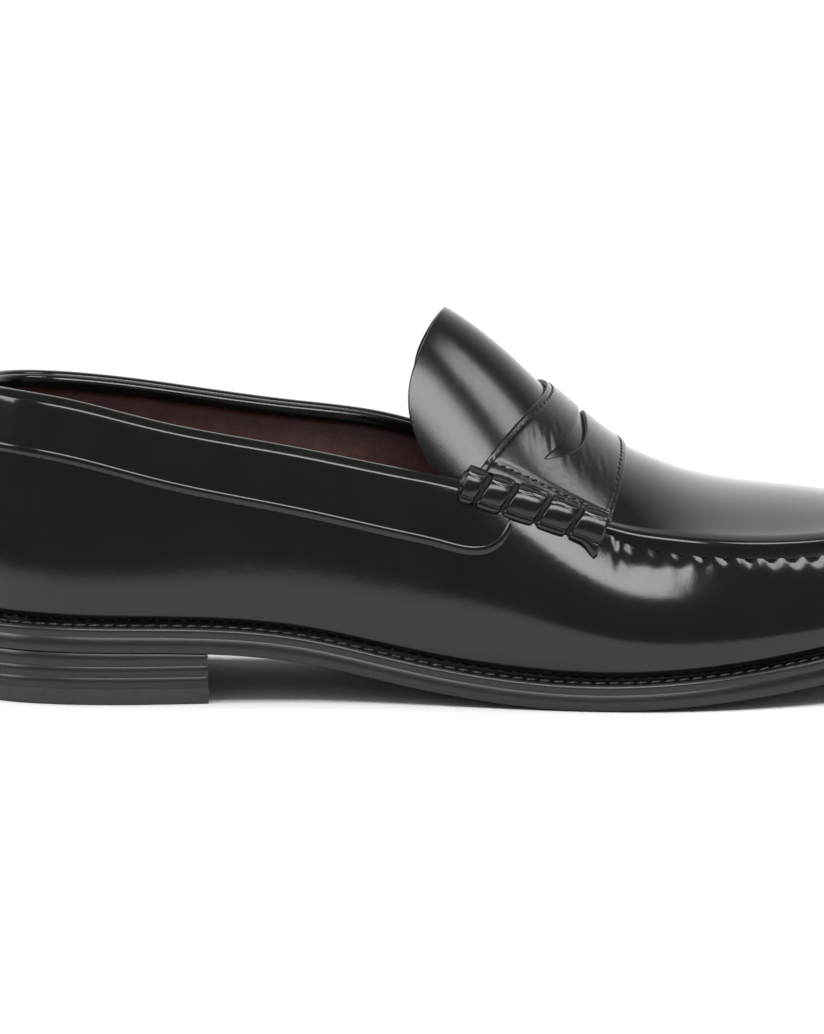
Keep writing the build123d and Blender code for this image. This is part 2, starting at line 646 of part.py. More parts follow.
def make_roll_binding(side):
    """Cord turns in the grooves of a beef roll."""
    plane, length = roll_frame(side)
    turns = [
        Solid.make_torus(ROLL_GROOVE_R + 0.52, 0.45, Plane((0, 0, share * length))) for share in ROLL_GROOVES
    ]
    return Compound([plane.location * turn for turn in turns])


def roll_seats():
    """Space that the two rolls take out of the pieces round them."""
    seats = []
    for side in (-1, 1):
        plane, length = roll_frame(side)
        seats.append(plane.location * Solid.make_cylinder(ROLL_SEAT_R, length + 0.6, Plane((0, 0, -0.3))))
    return seats


# ---- every piece, in its place ------------------------------------------------------------------
def build():
    parts = {"outsole": make_outsole(), "welt": make_welt(), "welt_stitching": make_welt_stitching()}
    parts.update(heel_parts())
    parts["shank"] = make_shank()
    parts.update(filler_parts())
    parts["insole"] = sole_layer(9.5, lambda x: welt_top(x) + GLUE, insole_top)
    parts["heel_pad"] = sole_layer(
        11.5, lambda x: insole_top(x) + GLUE, lambda x: insole_top(x) + GLUE + pad_height(x),
        end_x=HEEL_PAD_END_X)
    parts["sock_liner"] = sole_layer(9.8, sock_base, lambda x: sock_base(x) + SOCK_THICK)

    split = [round_at(LINING_SPLIT_X, -1), round_at(LINING_SPLIT_X, 1)]
    parts["moccasin_wall"] = make_moccasin_wall()
    parts["collar_band"] = make_collar_band()
    parts["collar_stitching"] = make_collar_stitching()
    parts["collar_binding"] = make_collar_binding()
    parts["back_strip"] = make_back_strip()
    parts["heel_counter"] = make_stiffener(0.0, COUNTER_HALF)
    parts["toe_puff"] = make_stiffener(TOE_U, PUFF_HALF)
    parts["quarter_lining"] = make_lining(split[1] - 1 + 0.0005, split[0] - 0.0005)
    parts["vamp_lining"] = make_lining(split[0] + 0.0005, split[1] - 0.0005)
    parts["apron"] = make_apron()
    parts["apron_stitching"] = make_apron_stitching()
    parts["tongue"] = make_tongue()
    parts["tongue_lining"] = make_tongue_lining()
    parts["saddle_strap"] = make_saddle_strap()
    parts["strap_backing"] = make_strap_backing()
    parts["strap_stitching"] = make_strap_stitching()

    for name in ("moccasin_wall", "collar_band", "collar_binding", "quarter_lining", "vamp_lining",
                 "apron", "tongue", "tongue_lining", "saddle_strap", "strap_backing"):
        for seat in roll_seats():
            parts[name] = one_solid(parts[name] - seat)

    for name, side in (("lateral", -1), ("medial", 1)):
        parts["beef_roll_" + name] = make_roll(side)
        parts["roll_binding_" + name] = make_roll_binding(side)
    return parts


if __name__ == "__main__":
    os.makedirs("parts", exist_ok=True)
    rim = outline(np.linspace(0, 1, 4001))
    middle = (rim.min(axis=0) + rim.max(axis=0)) / 2
    to_origin = Location((-middle[0], -middle[1], 0))
    for node, shape in build().items():
        export_step(to_origin * shape, "parts/" + node + ".step")
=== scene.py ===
import bmesh
import bpy
import math
import numpy as np
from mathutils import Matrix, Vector


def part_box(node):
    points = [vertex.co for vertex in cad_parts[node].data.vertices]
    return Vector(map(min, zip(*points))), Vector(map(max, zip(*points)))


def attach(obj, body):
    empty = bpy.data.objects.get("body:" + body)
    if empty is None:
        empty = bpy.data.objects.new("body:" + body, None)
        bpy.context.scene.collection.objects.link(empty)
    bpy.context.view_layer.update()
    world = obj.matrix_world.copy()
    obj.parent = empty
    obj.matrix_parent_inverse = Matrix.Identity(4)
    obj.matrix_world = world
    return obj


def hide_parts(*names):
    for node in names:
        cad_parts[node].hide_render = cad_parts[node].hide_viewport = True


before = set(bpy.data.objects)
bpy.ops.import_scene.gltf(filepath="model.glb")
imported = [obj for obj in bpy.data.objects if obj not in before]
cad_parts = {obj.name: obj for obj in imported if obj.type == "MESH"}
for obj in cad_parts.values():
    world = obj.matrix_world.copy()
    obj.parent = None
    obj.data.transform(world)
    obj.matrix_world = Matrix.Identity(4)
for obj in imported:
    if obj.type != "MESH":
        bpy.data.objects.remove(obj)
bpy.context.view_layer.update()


# ---- Outsole -------------------------------------------------------------------------------------
# Oak-bark sole leather, cut to the outline in one piece and stitched to the welt. The edge is trimmed, inked
# black and ironed, which leaves fine lines along it. The tread face is natural on the shoe, but here it takes
# the same inked edge finish.

def spline(knots, values, closed=False):
    """Cubic curve through the values, which may be vectors: natural ends, or closed on itself."""
    x = np.asarray(knots, float)
    y = np.asarray(values, float)
    flat = y.ndim == 1
    y = y.reshape(len(x), -1)
    last = len(x) - 1
    step = np.diff(x)
    system = np.zeros((last + 1, last + 1))
    right = np.zeros_like(y)
    for i in range(1, last):
        system[i, i - 1:i + 2] = step[i - 1], 2 * (step[i - 1] + step[i]), step[i]
        right[i] = 6 * ((y[i + 1] - y[i]) / step[i] - (y[i] - y[i - 1]) / step[i - 1])
    if closed:
        system[0, [0, 1, last - 1]] = 2 * (step[0] + step[-1]), step[0], step[-1]
        right[0] = 6 * ((y[1] - y[0]) / step[0] - (y[last] - y[last - 1]) / step[-1])
        system[last, [0, last]] = -1, 1
    else:
        system[0, 0] = 1
        system[last, last] = 1
    bend = np.linalg.solve(system, right)

    def value(at):
        at = np.asarray(at, float)
        if closed:
            at = x[0] + np.mod(at - x[0], x[-1] - x[0])
        i = np.clip(np.searchsorted(x, at, side="right") - 1, 0, last - 1)
        span = step[i][..., None]
        before = (at - x[i])[..., None]
        after = (x[i + 1] - at)[..., None]
        result = (bend[i] * after ** 3 + bend[i + 1] * before ** 3) / (6 * span)
        result += (y[i] / span - bend[i] * span / 6) * after
        result += (y[i + 1] / span - bend[i + 1] * span / 6) * before
        return result[..., 0] if flat else result

    return value


def smooth_step(low, high, value):
    """0 below low, 1 above high, and a smooth rise between."""
    t = np.clip((value - low) / (high - low), 0, 1)
    return t * t * (3 - 2 * t)


# The shoemaker's frame, in mm: x from the heel back to the toe, y negative on the outer side.
SOLE_EDGE = [
    (0, 0), (8.5, -23), (30, -33.2), (62, -35), (97, -34.2), (130, -39.5), (165, -48.5), (200, -53),
    (236, -48), (266, -36.5), (289, -19), (300, 4), (295, 26), (275, 42), (244, 51), (208, 53),
    (178, 47.5), (148, 37), (112, 29.8), (78, 31), (45, 34), (14, 27),
]
SOLE_LIFT_X = [0, 40, 75, 100, 126, 152, 178, 205, 228, 262, 300]
SOLE_LIFT_Z = [15.2, 14.7, 13.8, 10.9, 5.5, 1.5, 0, 1.0, 3.2, 8.2, 15.0]
SOLE_THICK = 4.6
WELT_THICK = 2.9

sole_corners = np.array(SOLE_EDGE + SOLE_EDGE[:1], float)
sole_run = np.r_[0, np.cumsum(np.linalg.norm(np.diff(sole_corners, axis=0), axis=1))]
outline = spline(sole_run / sole_run[-1], sole_corners, closed=True)  # 0 to 1 round from the heel
sole_under = spline(SOLE_LIFT_X, SOLE_LIFT_Z)
sole_rim = outline(np.linspace(0, 1, 4001))
sole_low = np.array(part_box("outsole")[0]) * 1000
to_frame = np.array([sole_low[0] - sole_rim[:, 0].min(), sole_low[1] - sole_rim[:, 1].min(), 0])
TOE_U = float(np.argmax(sole_rim[:, 0])) / 4000


def outward(u):
    """Unit normals of the outsole's edge, pointing out."""
    along = outline(u + 1e-5) - outline(u - 1e-5)
    along /= np.linalg.norm(along, axis=-1, keepdims=True)
    return np.stack([along[..., 1], -along[..., 0]], -1)


def round_at(x, side):
    """Place on the outsole's edge (0 to 1) of the given x on one side."""
    u = np.linspace(0, TOE_U, 4001) if side < 0 else np.linspace(TOE_U, 1, 4001)
    return float(u[np.argmin(np.abs(outline(u)[:, 0] - x))])


def to_object(name, verts, faces):
    """A mesh object in the frame's metres from points in mm."""
    mesh = bpy.data.meshes.new(name)
    mesh.from_pydata((np.asarray(verts) + to_frame) / 1000, [], faces)
    piece = bpy.data.objects.new(name, mesh)
    bpy.context.scene.collection.objects.link(piece)
    return piece


def grid_faces(rows, columns, closed=False, first=0):
    """Quads of a grid of points numbered row by row. Closed joins the last row to the first."""
    count = rows if closed else rows - 1
    i, j = np.meshgrid(np.arange(count), np.arange(columns - 1), indexing="ij")
    a = i * columns + j
    b = (i + 1) % rows * columns + j
    return (np.stack([a, b, b + 1, a + 1], -1).reshape(-1, 4) + first).tolist()


def finish_mesh(piece, weld=0.0, angle=40, flip=None):
    """Welds, turns the faces outwards and smooths all but the hard edges."""
    mesh = bmesh.new()
    mesh.from_mesh(piece.data)
    if weld:
        bmesh.ops.remove_doubles(mesh, verts=mesh.verts, dist=weld / 1000)
    if flip is None:
        bmesh.ops.recalc_face_normals(mesh, faces=mesh.faces)
    elif flip:
        bmesh.ops.reverse_faces(mesh, faces=mesh.faces)
    for face in mesh.faces:
        face.smooth = True
    for edge in mesh.edges:
        edge.smooth = len(edge.link_faces) != 2 or edge.calc_face_angle(0) < math.radians(angle)
    mesh.to_mesh(piece.data)
    mesh.free()
    return piece


def apply_modifiers(piece):
    """Replaces the piece's mesh with the one its modifiers make."""
    view = bpy.context.evaluated_depsgraph_get()
    view.update()
    mesh = bpy.data.meshes.new_from_object(piece.evaluated_get(view))
    mesh.name = piece.name
    piece.modifiers.clear()
    piece.data = mesh
    return piece


def rim_loft(name, profile, around=420, closed=False):
    """A layer of the bottom: each (inset, height) of the profile is a ring round the shoe. The ends
    are capped, or a closed profile joins its last ring to its first."""
    u = np.arange(around) / around
    edge = outline(u)
    normal = outward(u)
    rings = []
    for inset, height in profile:
        flat = edge - inset * normal
        rings.append(np.c_[flat, height(flat[:, 0])])
    verts = np.concatenate(rings)
    count = len(profile)
    faces = []
    for ring in range(count if closed else count - 1):
        low, high = ring * around, (ring + 1) % count * around
        for i in range(around):
            j = (i + 1) % around
            faces.append([low + i, low + j, high + j, high + i])
    half = around // 2
    for ring, turn in () if closed else ((0, True), (count - 1, False)):
        for i in range(half):
            strip = [i, i + 1, (around - i - 1) % around, (around - i) % around]
            strip = list(dict.fromkeys(strip))
            if len(strip) > 2:
                strip = [ring * around + k for k in strip]
                faces.append(strip[::-1] if turn else strip)
    return to_object(name, verts, faces)


def over_sole(rise):
    """Height function: this far above the outsole's underside."""
    return lambda x: sole_under(x) + rise


def linear(code):
    """An sRGB hex colour as linear RGBA."""
    parts = [int(code[i:i + 2], 16) / 255 for i in (0, 2, 4)]
    return [p / 12.92 if p <= 0.04045 else ((p + 0.055) / 1.055) ** 2.4 for p in parts] + [1.0]


def add_node(tree, kind, links=None, **settings):
    """Adds a node, sets its properties and socket values, and links sockets by name or number."""
    node = tree.nodes.new(kind)
    for key, value in settings.items():
        if hasattr(node, key):
            setattr(node, key, value)
        else:
            node.inputs[key.replace("_", " ")].default_value = value
    for key, source in (links or {}).items():
        tree.links.new(source, node.inputs[key])
    return node


def new_material(name, **shader):
    """A material with one Principled shader. Names use _ for the spaces in its sockets."""
    material = bpy.data.materials.new(name)
    material.use_nodes = True
    tree = material.node_tree
    tree.nodes.clear()
    principled = add_node(tree, "ShaderNodeBsdfPrincipled", **shader)
    add_node(tree, "ShaderNodeOutputMaterial", {"Surface": principled.outputs[0]})
    return material, tree, principled


def edge_leather(name, colour, streaks):
    """Inked and ironed leather edge: satin black with fine lines along it and a few scuffs."""
    material, tree, shader = new_material(name, Roughness=0.3, Specular_IOR_Level=0.5)
    place = add_node(tree, "ShaderNodeTexCoord").outputs["Object"]
    # Lines run along the edge, so the pattern is squeezed in height: 0.35 mm tall, 12 mm long.
    squeeze = add_node(tree, "ShaderNodeMapping", {"Vector": place}, Scale=(80, 80, 2800))
    line = add_node(tree, "ShaderNodeTexNoise", {"Vector": squeeze.outputs[0]}, Scale=1.0, Detail=3.0)
    tint = add_node(tree, "ShaderNodeValToRGB", {"Fac": line.outputs["Fac"]})
    tint.color_ramp.elements[0].position = 0.35
    tint.color_ramp.elements[0].color = linear(colour)
    tint.color_ramp.elements[1].position = 0.75
    tint.color_ramp.elements[1].color = linear(streaks)
    fine = add_node(tree, "ShaderNodeTexNoise", {"Vector": place}, Scale=900.0, Detail=4.0)
    rise = add_node(tree, "ShaderNodeMath", {0: line.outputs["Fac"], 1: fine.outputs["Fac"]})
    bump = add_node(tree, "ShaderNodeBump", {"Height": rise.outputs[0]}, Strength=0.06, Distance=0.00008)
    tree.links.new(tint.outputs[0], shader.inputs["Base Color"])
    tree.links.new(bump.outputs[0], shader.inputs["Normal"])
    return material


sole_edge_leather = edge_leather("inked_sole_leather", "1b1b1c", "202021")


def place_piece(piece, material, slot, *nodes):
    """Gives a finished piece its material, and puts it on the body in place of its CAD nodes."""
    if not piece.data.materials:
        piece.data.materials.append(material)
    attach(piece, "root")
    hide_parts(*nodes)
    return piece


outsole = rim_loft("outsole_leather", [
    (6.0, over_sole(0.0)), (0.7, over_sole(0.0)), (0.2, over_sole(0.15)), (0.0, over_sole(0.6)),
    (0.0, over_sole(SOLE_THICK + 0.06)), (0.02, over_sole(SOLE_THICK + 0.08)), (6.0, over_sole(SOLE_THICK))])
place_piece(finish_mesh(outsole, angle=75), sole_edge_leather, "sole_leather", "outsole")


# ---- Heel ----------------------------------------------------------------------------------------
# Three leather lifts and a rubber top piece, pegged and glued under the seat, then trimmed and inked
# flush with the sole's edge. The breast is hollow. Seven steel nails hold the top piece.
HEEL_BREAST_X = 72.0
HEEL_BREAST_R = 95.0
LIFT_LEVELS = [4.5, 7.7, 10.9]


def heel_ring(inset):
    """The heel's outline, moved inwards: round the back, then across the hollow breast."""
    ends = round_at(HEEL_BREAST_X, 1) - 1, round_at(HEEL_BREAST_X, -1)
    u = np.linspace(ends[0], ends[1], 161)
    back = outline(u) - inset * outward(u)
    back[:, 0] = np.minimum(back[:, 0], HEEL_BREAST_X - inset)
    share = np.linspace(-1, 1, 41)[1:-1]
    half = back[-1, 1]
    y = half * -share + (back[0, 1] + back[-1, 1]) / 2 * (1 - share ** 2)
    hollow = HEEL_BREAST_R - np.sqrt(HEEL_BREAST_R ** 2 - (half * share) ** 2)
    depth = HEEL_BREAST_R - np.sqrt(HEEL_BREAST_R ** 2 - half ** 2)
    breast = np.c_[back[-1, 0] - depth + hollow, y][::1]
    return np.concatenate([back, breast])


def heel_layer(name, low, high):
    """One lift with slightly eased edges."""
    rings = []
    for inset, rise in ((3, 0.01), (0.03, 0.01), (0.0, 0.04), (0.0, -0.03), (0.03, 0), (3, 0)):
        flat = heel_ring(inset)
        top = len(rings) > 2
        level = high(flat[:, 0]) if top else np.full(len(flat), low)
        rings.append(np.c_[flat, level + rise])
    around = len(rings[0])
    faces = []
    for ring in range(len(rings) - 1):
        for i in range(around):
            j = (i + 1) % around
            faces.append([ring * around + i, ring * around + j,
                          (ring + 1) * around + j, (ring + 1) * around + i])
    faces.append(list(range(around))[::-1])
    faces.append([(len(rings) - 1) * around + i for i in range(around)])
    return to_object(name, np.concatenate(rings), faces)


heel_edge_leather = edge_leather("inked_heel_leather", "19191a", "1d1d1e")
for number, low, high in ((3, LIFT_LEVELS[0], lambda x: 0 * x + LIFT_LEVELS[1]),
                          (2, LIFT_LEVELS[1], lambda x: 0 * x + LIFT_LEVELS[2]),
                          (1, LIFT_LEVELS[2], lambda x: sole_under(x) - 0.02)):
    lift = finish_mesh(heel_layer(f"heel_lift_{number}_leather", low, high), angle=50)
    place_piece(lift, heel_edge_leather, "heel_leather", f"heel_lift_{number}")

heel_rubber, tree, shader = new_material("moulded_heel_rubber", Roughness=0.55, Specular_IOR_Level=0.4)
place = add_node(tree, "ShaderNodeTexCoord").outputs["Object"]
dust = add_node(tree, "ShaderNodeTexNoise", {"Vector": place}, Scale=260.0, Detail=5.0)
tint = add_node(tree, "ShaderNodeValToRGB", {"Fac": dust.outputs["Fac"]})
tint.color_ramp.elements[0].color = linear("2a2a2b")
tint.color_ramp.elements[1].color = linear("454547")
bump = add_node(tree, "ShaderNodeBump", {"Height": dust.outputs["Fac"]}, Strength=0.3, Distance=0.0001)
tree.links.new(tint.outputs[0], shader.inputs["Base Color"])
tree.links.new(bump.outputs[0], shader.inputs["Normal"])

nail_steel, tree, shader = new_material("wire_nail_steel", Metallic=1.0, Roughness=0.4)
place = add_node(tree, "ShaderNodeTexCoord").outputs["Object"]
wear = add_node(tree, "ShaderNodeTexNoise", {"Vector": place}, Scale=1500.0, Detail=3.0)
tint = add_node(tree, "ShaderNodeValToRGB", {"Fac": wear.outputs["Fac"]})
tint.color_ramp.elements[0].color = linear("6f6c66")
tint.color_ramp.elements[1].color = linear("b3b1ac")
tree.links.new(tint.outputs[0], shader.inputs["Base Color"])


def dress(node, material):
    """Gives a CAD node that keeps its own mesh its finish."""
    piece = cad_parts[node]
    piece.data.materials.clear()
    piece.data.materials.append(material)


dress("heel_top_piece", heel_rubber)
dress("heel_nails", nail_steel)


# ---- Shank, cork, seat filler, insole and heel pad --------------------------------------------------
# What the sole hides: a blued spring-steel shank in a bed of ground cork and latex, leather board
# under the heel, a shoulder-leather insole that the welt is sewn to, and a latex foam pad.
def mottled(name, low, high, scale, rough, depth, metallic=0.0):
    """A material with two colours mottled at one grain size, and bump from the same grain."""
    material, tree, shader = new_material(name, Roughness=rough, Metallic=metallic)
    place = add_node(tree, "ShaderNodeTexCoord").outputs["Object"]
    grain = add_node(tree, "ShaderNodeTexNoise", {"Vector": place}, Scale=scale, Detail=6.0)
    tint = add_node(tree, "ShaderNodeValToRGB", {"Fac": grain.outputs["Fac"]})
    tint.color_ramp.elements[0].position = 0.3
    tint.color_ramp.elements[0].color = linear(low)
    tint.color_ramp.elements[1].position = 0.7
    tint.color_ramp.elements[1].color = linear(high)
    bump = add_node(tree, "ShaderNodeBump", {"Height": grain.outputs["Fac"]}, Strength=0.4, Distance=depth)
    tree.links.new(tint.outputs[0], shader.inputs["Base Color"])
    tree.links.new(bump.outputs[0], shader.inputs["Normal"])
    return material


dress("shank", mottled("blued_shank_steel", "30343c", "4a5060", 500.0, 0.35, 0.00002, metallic=1.0))
dress("cork_filler", mottled("ground_cork", "6b4426", "b98a58", 600.0, 0.9, 0.0004))
dress("heel_seat_filler", mottled("pressed_leather_board", "6a4a30", "8c6848", 800.0, 0.8, 0.0002))
dress("insole", mottled("shoulder_leather_insole", "a8835a", "c8a478", 220.0, 0.6, 0.0001))

foam = mottled("latex_foam", "b8ae90", "d8d0b8", 1200.0, 0.9, 0.0003)
pad_low, pad_high = np.array(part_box("heel_pad"))
pad_middle, pad_half = (pad_low + pad_high) / 2, (pad_high - pad_low) / 2
angle = np.linspace(0, 2 * np.pi, 96, endpoint=False)
rings = [(0.0, -1.0), (0.9, -1.0), (0.985, -0.7), (1.0, 0.0),
         (0.985, 0.7), (0.94, 0.88), (0.8, 0.96), (0.0, 1.0)]
pad = np.array([[(wide * np.cos(a), wide * np.sin(a), rise) for a in angle] for wide, rise in rings])
pad = (pad_middle + pad_half * pad) * 1000 - to_frame
pad = to_object("heel_pad_foam", pad.reshape(-1, 3), grid_faces(len(rings), 96, closed=True))
place_piece(finish_mesh(pad, weld=0.01), foam, "pad_foam", "heel_pad")


# ---- Sock liner ----------------------------------------------------------------------------------
# Thin red-brown lining leather glued over the insole and the pad, its edge skived and tucked in.
FOOT_INSET = 5.8
SOCK_THICK = 1.0


def insole_top(x):
    return sole_under(x) + SOLE_THICK + WELT_THICK + 3.1


def sock_base(x):
    """Underside of the sock liner, which climbs over the heel pad."""
    pad = 0.3 + 1.7 * (1 - smooth_step(55.0, 80.0, x)) + 0.1
    return insole_top(x) + 0.1 + pad * (1 - smooth_step(80.0, 90.0, x))


def lining_leather(name, low, high):
    """Glazed kid: soft, even, low in gloss, with a fine pored grain and cloudy colour."""
    material, tree, shader = new_material(
        name, Roughness=0.62, Specular_IOR_Level=0.3, Sheen_Weight=0.25, Sheen_Roughness=0.5)
    place = add_node(tree, "ShaderNodeTexCoord").outputs["Object"]
    cloud = add_node(tree, "ShaderNodeTexNoise", {"Vector": place}, Scale=150.0, Detail=5.0, Roughness=0.65)
    tint = add_node(tree, "ShaderNodeValToRGB", {"Fac": cloud.outputs["Fac"]})
    tint.color_ramp.elements[0].position = 0.3
    tint.color_ramp.elements[0].color = linear(low)
    tint.color_ramp.elements[1].position = 0.72
    tint.color_ramp.elements[1].color = linear(high)
    # Pores 0.6 mm apart.
    pores = add_node(tree, "ShaderNodeTexVoronoi", {"Vector": place}, Scale=1600.0)
    bump = add_node(tree, "ShaderNodeBump", {"Height": pores.outputs["Distance"]},
                    Strength=0.5, Distance=0.0001)
    tree.links.new(tint.outputs[0], shader.inputs["Base Color"])
    tree.links.new(bump.outputs[0], shader.inputs["Normal"])
    return material


brown_kid = lining_leather("red_brown_lining_kid", "563335", "7c524e")
sock = rim_loft("sock_liner_kid", [
    (14.0, sock_base), (10.2, sock_base), (9.9, lambda x: sock_base(x) + 0.3),
    (10.1, lambda x: sock_base(x) + SOCK_THICK - 0.2), (10.8, lambda x: sock_base(x) + SOCK_THICK),
    (14.0, lambda x: sock_base(x) + SOCK_THICK)])
place_piece(finish_mesh(sock, angle=60), brown_kid, "lining_leather", "sock_liner")


# ---- Welt ----------------------------------------------------------------------------------------
# A black strip of welting leather, sewn to upper and insole from inside and to the outsole through
# its own face. A shallow channel takes the lockstitch row, whose stitches stand up as short bars.
WELT_WIDE = 10.0
STITCH_INSET = 2.9


def over_welt(rise):
    """Height function: this far above the welt's upper face."""
    return lambda x: sole_under(x) + SOLE_THICK + WELT_THICK + rise


welt_leather = edge_leather("waxed_welting_leather", "1a1a1b", "242425")
low_face = over_sole(SOLE_THICK + 0.1)
welt = rim_loft("welt_leather", [
    (WELT_WIDE, low_face), (0.02, low_face), (0.0, over_sole(SOLE_THICK + 0.12)), (0.0, over_welt(-0.75)),
    (0.03, over_welt(-0.66)), (0.4, over_welt(-0.1)), (0.5, over_welt(-0.03)), (0.8, over_welt(0.0)),
    (STITCH_INSET - 0.9, over_welt(-0.1)),
    (STITCH_INSET - 0.5, over_welt(-0.3)), (STITCH_INSET + 0.5, over_welt(-0.3)),
    (STITCH_INSET + 0.9, over_welt(0.0)), (WELT_WIDE, over_welt(0.0))], closed=True)
place_piece(finish_mesh(welt, angle=75), welt_leather, "welt_leather", "welt")


def thread_material(name, colour, light):
    """Waxed linen thread: dull black, with a painted sheen, which is a lighter base colour on the crowns of
    its twist.
    """
    material, tree, shader = new_material(name, Roughness=0.45, Specular_IOR_Level=0.5)
    place = add_node(tree, "ShaderNodeTexCoord").outputs["Object"]
    # The twist of the plies is 0.3 mm apart.
    twist = add_node(tree, "ShaderNodeTexWave", {"Vector": place}, bands_direction="DIAGONAL", Scale=550.0,
                     Distortion=2.0)
    # Painted sheen: the second colour is lighter where the twist stands high, as if lit.
    tint = add_node(tree, "ShaderNodeValToRGB", {"Fac": twist.outputs["Fac"]})
    tint.color_ramp.elements[0].color = linear(colour)
    tint.color_ramp.elements[1].color = linear(light)
    bump = add_node(tree, "ShaderNodeBump", {"Height": twist.outputs["Fac"]}, Strength=0.5, Distance=0.0001)
    tree.links.new(tint.outputs[0], shader.inputs["Base Color"])
    tree.links.new(bump.outputs[0], shader.inputs["Normal"])
    return material


# The second colour of each thread is its painted sheen on the twist.
black_thread = thread_material("waxed_linen_thread", "2a2a2b", "5c5c5d")


def stitch_tree():
    """Geometry Nodes: stitches along an edge line, each a short bar that lies along the line."""
    tree = bpy.data.node_groups.new("stitch_row", "GeometryNodeTree")
    tree.interface.new_socket("Line", in_out="INPUT", socket_type="NodeSocketGeometry")
    for name in ("Pitch", "Length", "Thickness", "Slant"):
        tree.interface.new_socket(name, in_out="INPUT", socket_type="NodeSocketFloat")
    tree.interface.new_socket("Thread", in_out="INPUT", socket_type="NodeSocketMaterial")
    tree.interface.new_socket("Stitches", in_out="OUTPUT", socket_type="NodeSocketGeometry")
    given = add_node(tree, "NodeGroupInput").outputs
    curve = add_node(tree, "GeometryNodeMeshToCurve", {"Mesh": given["Line"]})
    row = add_node(tree, "GeometryNodeResampleCurve",
                   {"Curve": curve.outputs[0], "Length": given["Pitch"]}, mode="LENGTH")
    bar = add_node(tree, "GeometryNodeMeshUVSphere", Segments=8, Rings=6, Radius=0.5)
    size = add_node(tree, "ShaderNodeCombineXYZ",
                    {"X": given["Length"], "Y": given["Thickness"], "Z": given["Thickness"]})
    round_bar = add_node(tree, "GeometryNodeSetShadeSmooth", {"Geometry": bar.outputs["Mesh"]})
    stitch = add_node(tree, "GeometryNodeTransform",
                      {"Geometry": round_bar.outputs[0], "Scale": size.outputs[0]})
    tangent = add_node(tree, "GeometryNodeInputTangent")
    face = add_node(tree, "GeometryNodeInputNamedAttribute", data_type="FLOAT_VECTOR", Name="face_out")
    along = add_node(tree, "FunctionNodeAlignRotationToVector", {"Vector": tangent.outputs[0]}, axis="X")
    stand = add_node(tree, "FunctionNodeAlignRotationToVector",
                     {"Rotation": along.outputs[0], "Vector": face.outputs[0]}, axis="Z", pivot_axis="X")
    lean = add_node(tree, "ShaderNodeCombineXYZ", {"Z": given["Slant"]})
    turn = add_node(tree, "FunctionNodeRotateRotation",
                    {"Rotation": stand.outputs[0], "Rotate By": lean.outputs[0]}, rotation_space="LOCAL")
    placed = add_node(tree, "GeometryNodeInstanceOnPoints", {
        "Points": row.outputs[0], "Instance": stitch.outputs[0], "Rotation": turn.outputs[0]})
    real = add_node(tree, "GeometryNodeRealizeInstances", {"Geometry": placed.outputs[0]})
    dyed = add_node(tree, "GeometryNodeSetMaterial",
                    {"Geometry": real.outputs[0], "Material": given["Thread"]})
    add_node(tree, "NodeGroupOutput", {"Stitches": dyed.outputs[0]})
    return tree


stitch_row = stitch_tree()


def run_tree(name, tree, lines, settings):
    """Runs a Geometry Nodes tree on lines of (points in mm, outward normals), and keeps the mesh."""
    verts = np.concatenate([line for line, _ in lines])
    normals = np.concatenate([normal for _, normal in lines])
    edges = []
    start = 0
    for line, _ in lines:
        edges += [(start + i, start + i + 1) for i in range(len(line) - 1)]
        start += len(line)
    mesh = bpy.data.meshes.new(name)
    mesh.from_pydata((verts + to_frame) / 1000, edges, [])
    facing = mesh.attributes.new("face_out", "FLOAT_VECTOR", "POINT")
    facing.data.foreach_set("vector", normals.astype(np.float32).ravel())
    piece = bpy.data.objects.new(name, mesh)
    bpy.context.scene.collection.objects.link(piece)
    modifier = piece.modifiers.new(name, "NODES")
    modifier.node_group = tree
    for socket in tree.interface.items_tree:
        if socket.item_type == "SOCKET" and socket.name in settings:
            modifier[socket.identifier] = settings[socket.name]
    return apply_modifiers(piece)


def sew(name, lines, pitch, length, thick, slant=0.0, thread=None):
    """A row of stitches. Sizes in mm, slant in radians."""
    return run_tree(name, stitch_row, lines, {
        "Pitch": pitch / 1000, "Length": length / 1000, "Thickness": thick / 1000, "Slant": slant,
        "Thread": thread or black_thread})


def place_stitches(piece, *nodes):
    """Puts a stitch row, which has its material already, on the body."""
    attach(piece, "root")
    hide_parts(*nodes)


u = np.linspace(0, 1, 1201)
row_line = outline(u) - STITCH_INSET * outward(u)
row_line = np.c_[row_line, over_welt(0.05)(row_line[:, 0])]
# The welt thread's second colour is its painted sheen on the twist.
place_stitches(sew("welt_stitches", [(row_line, np.tile([0, 0, 1.0], (len(u), 1)))], 3.9, 3.6, 1.0, 0.1,
                   thread_material("inked_welt_thread", "141415", "2a2a2b")),
               "welt_stitching")


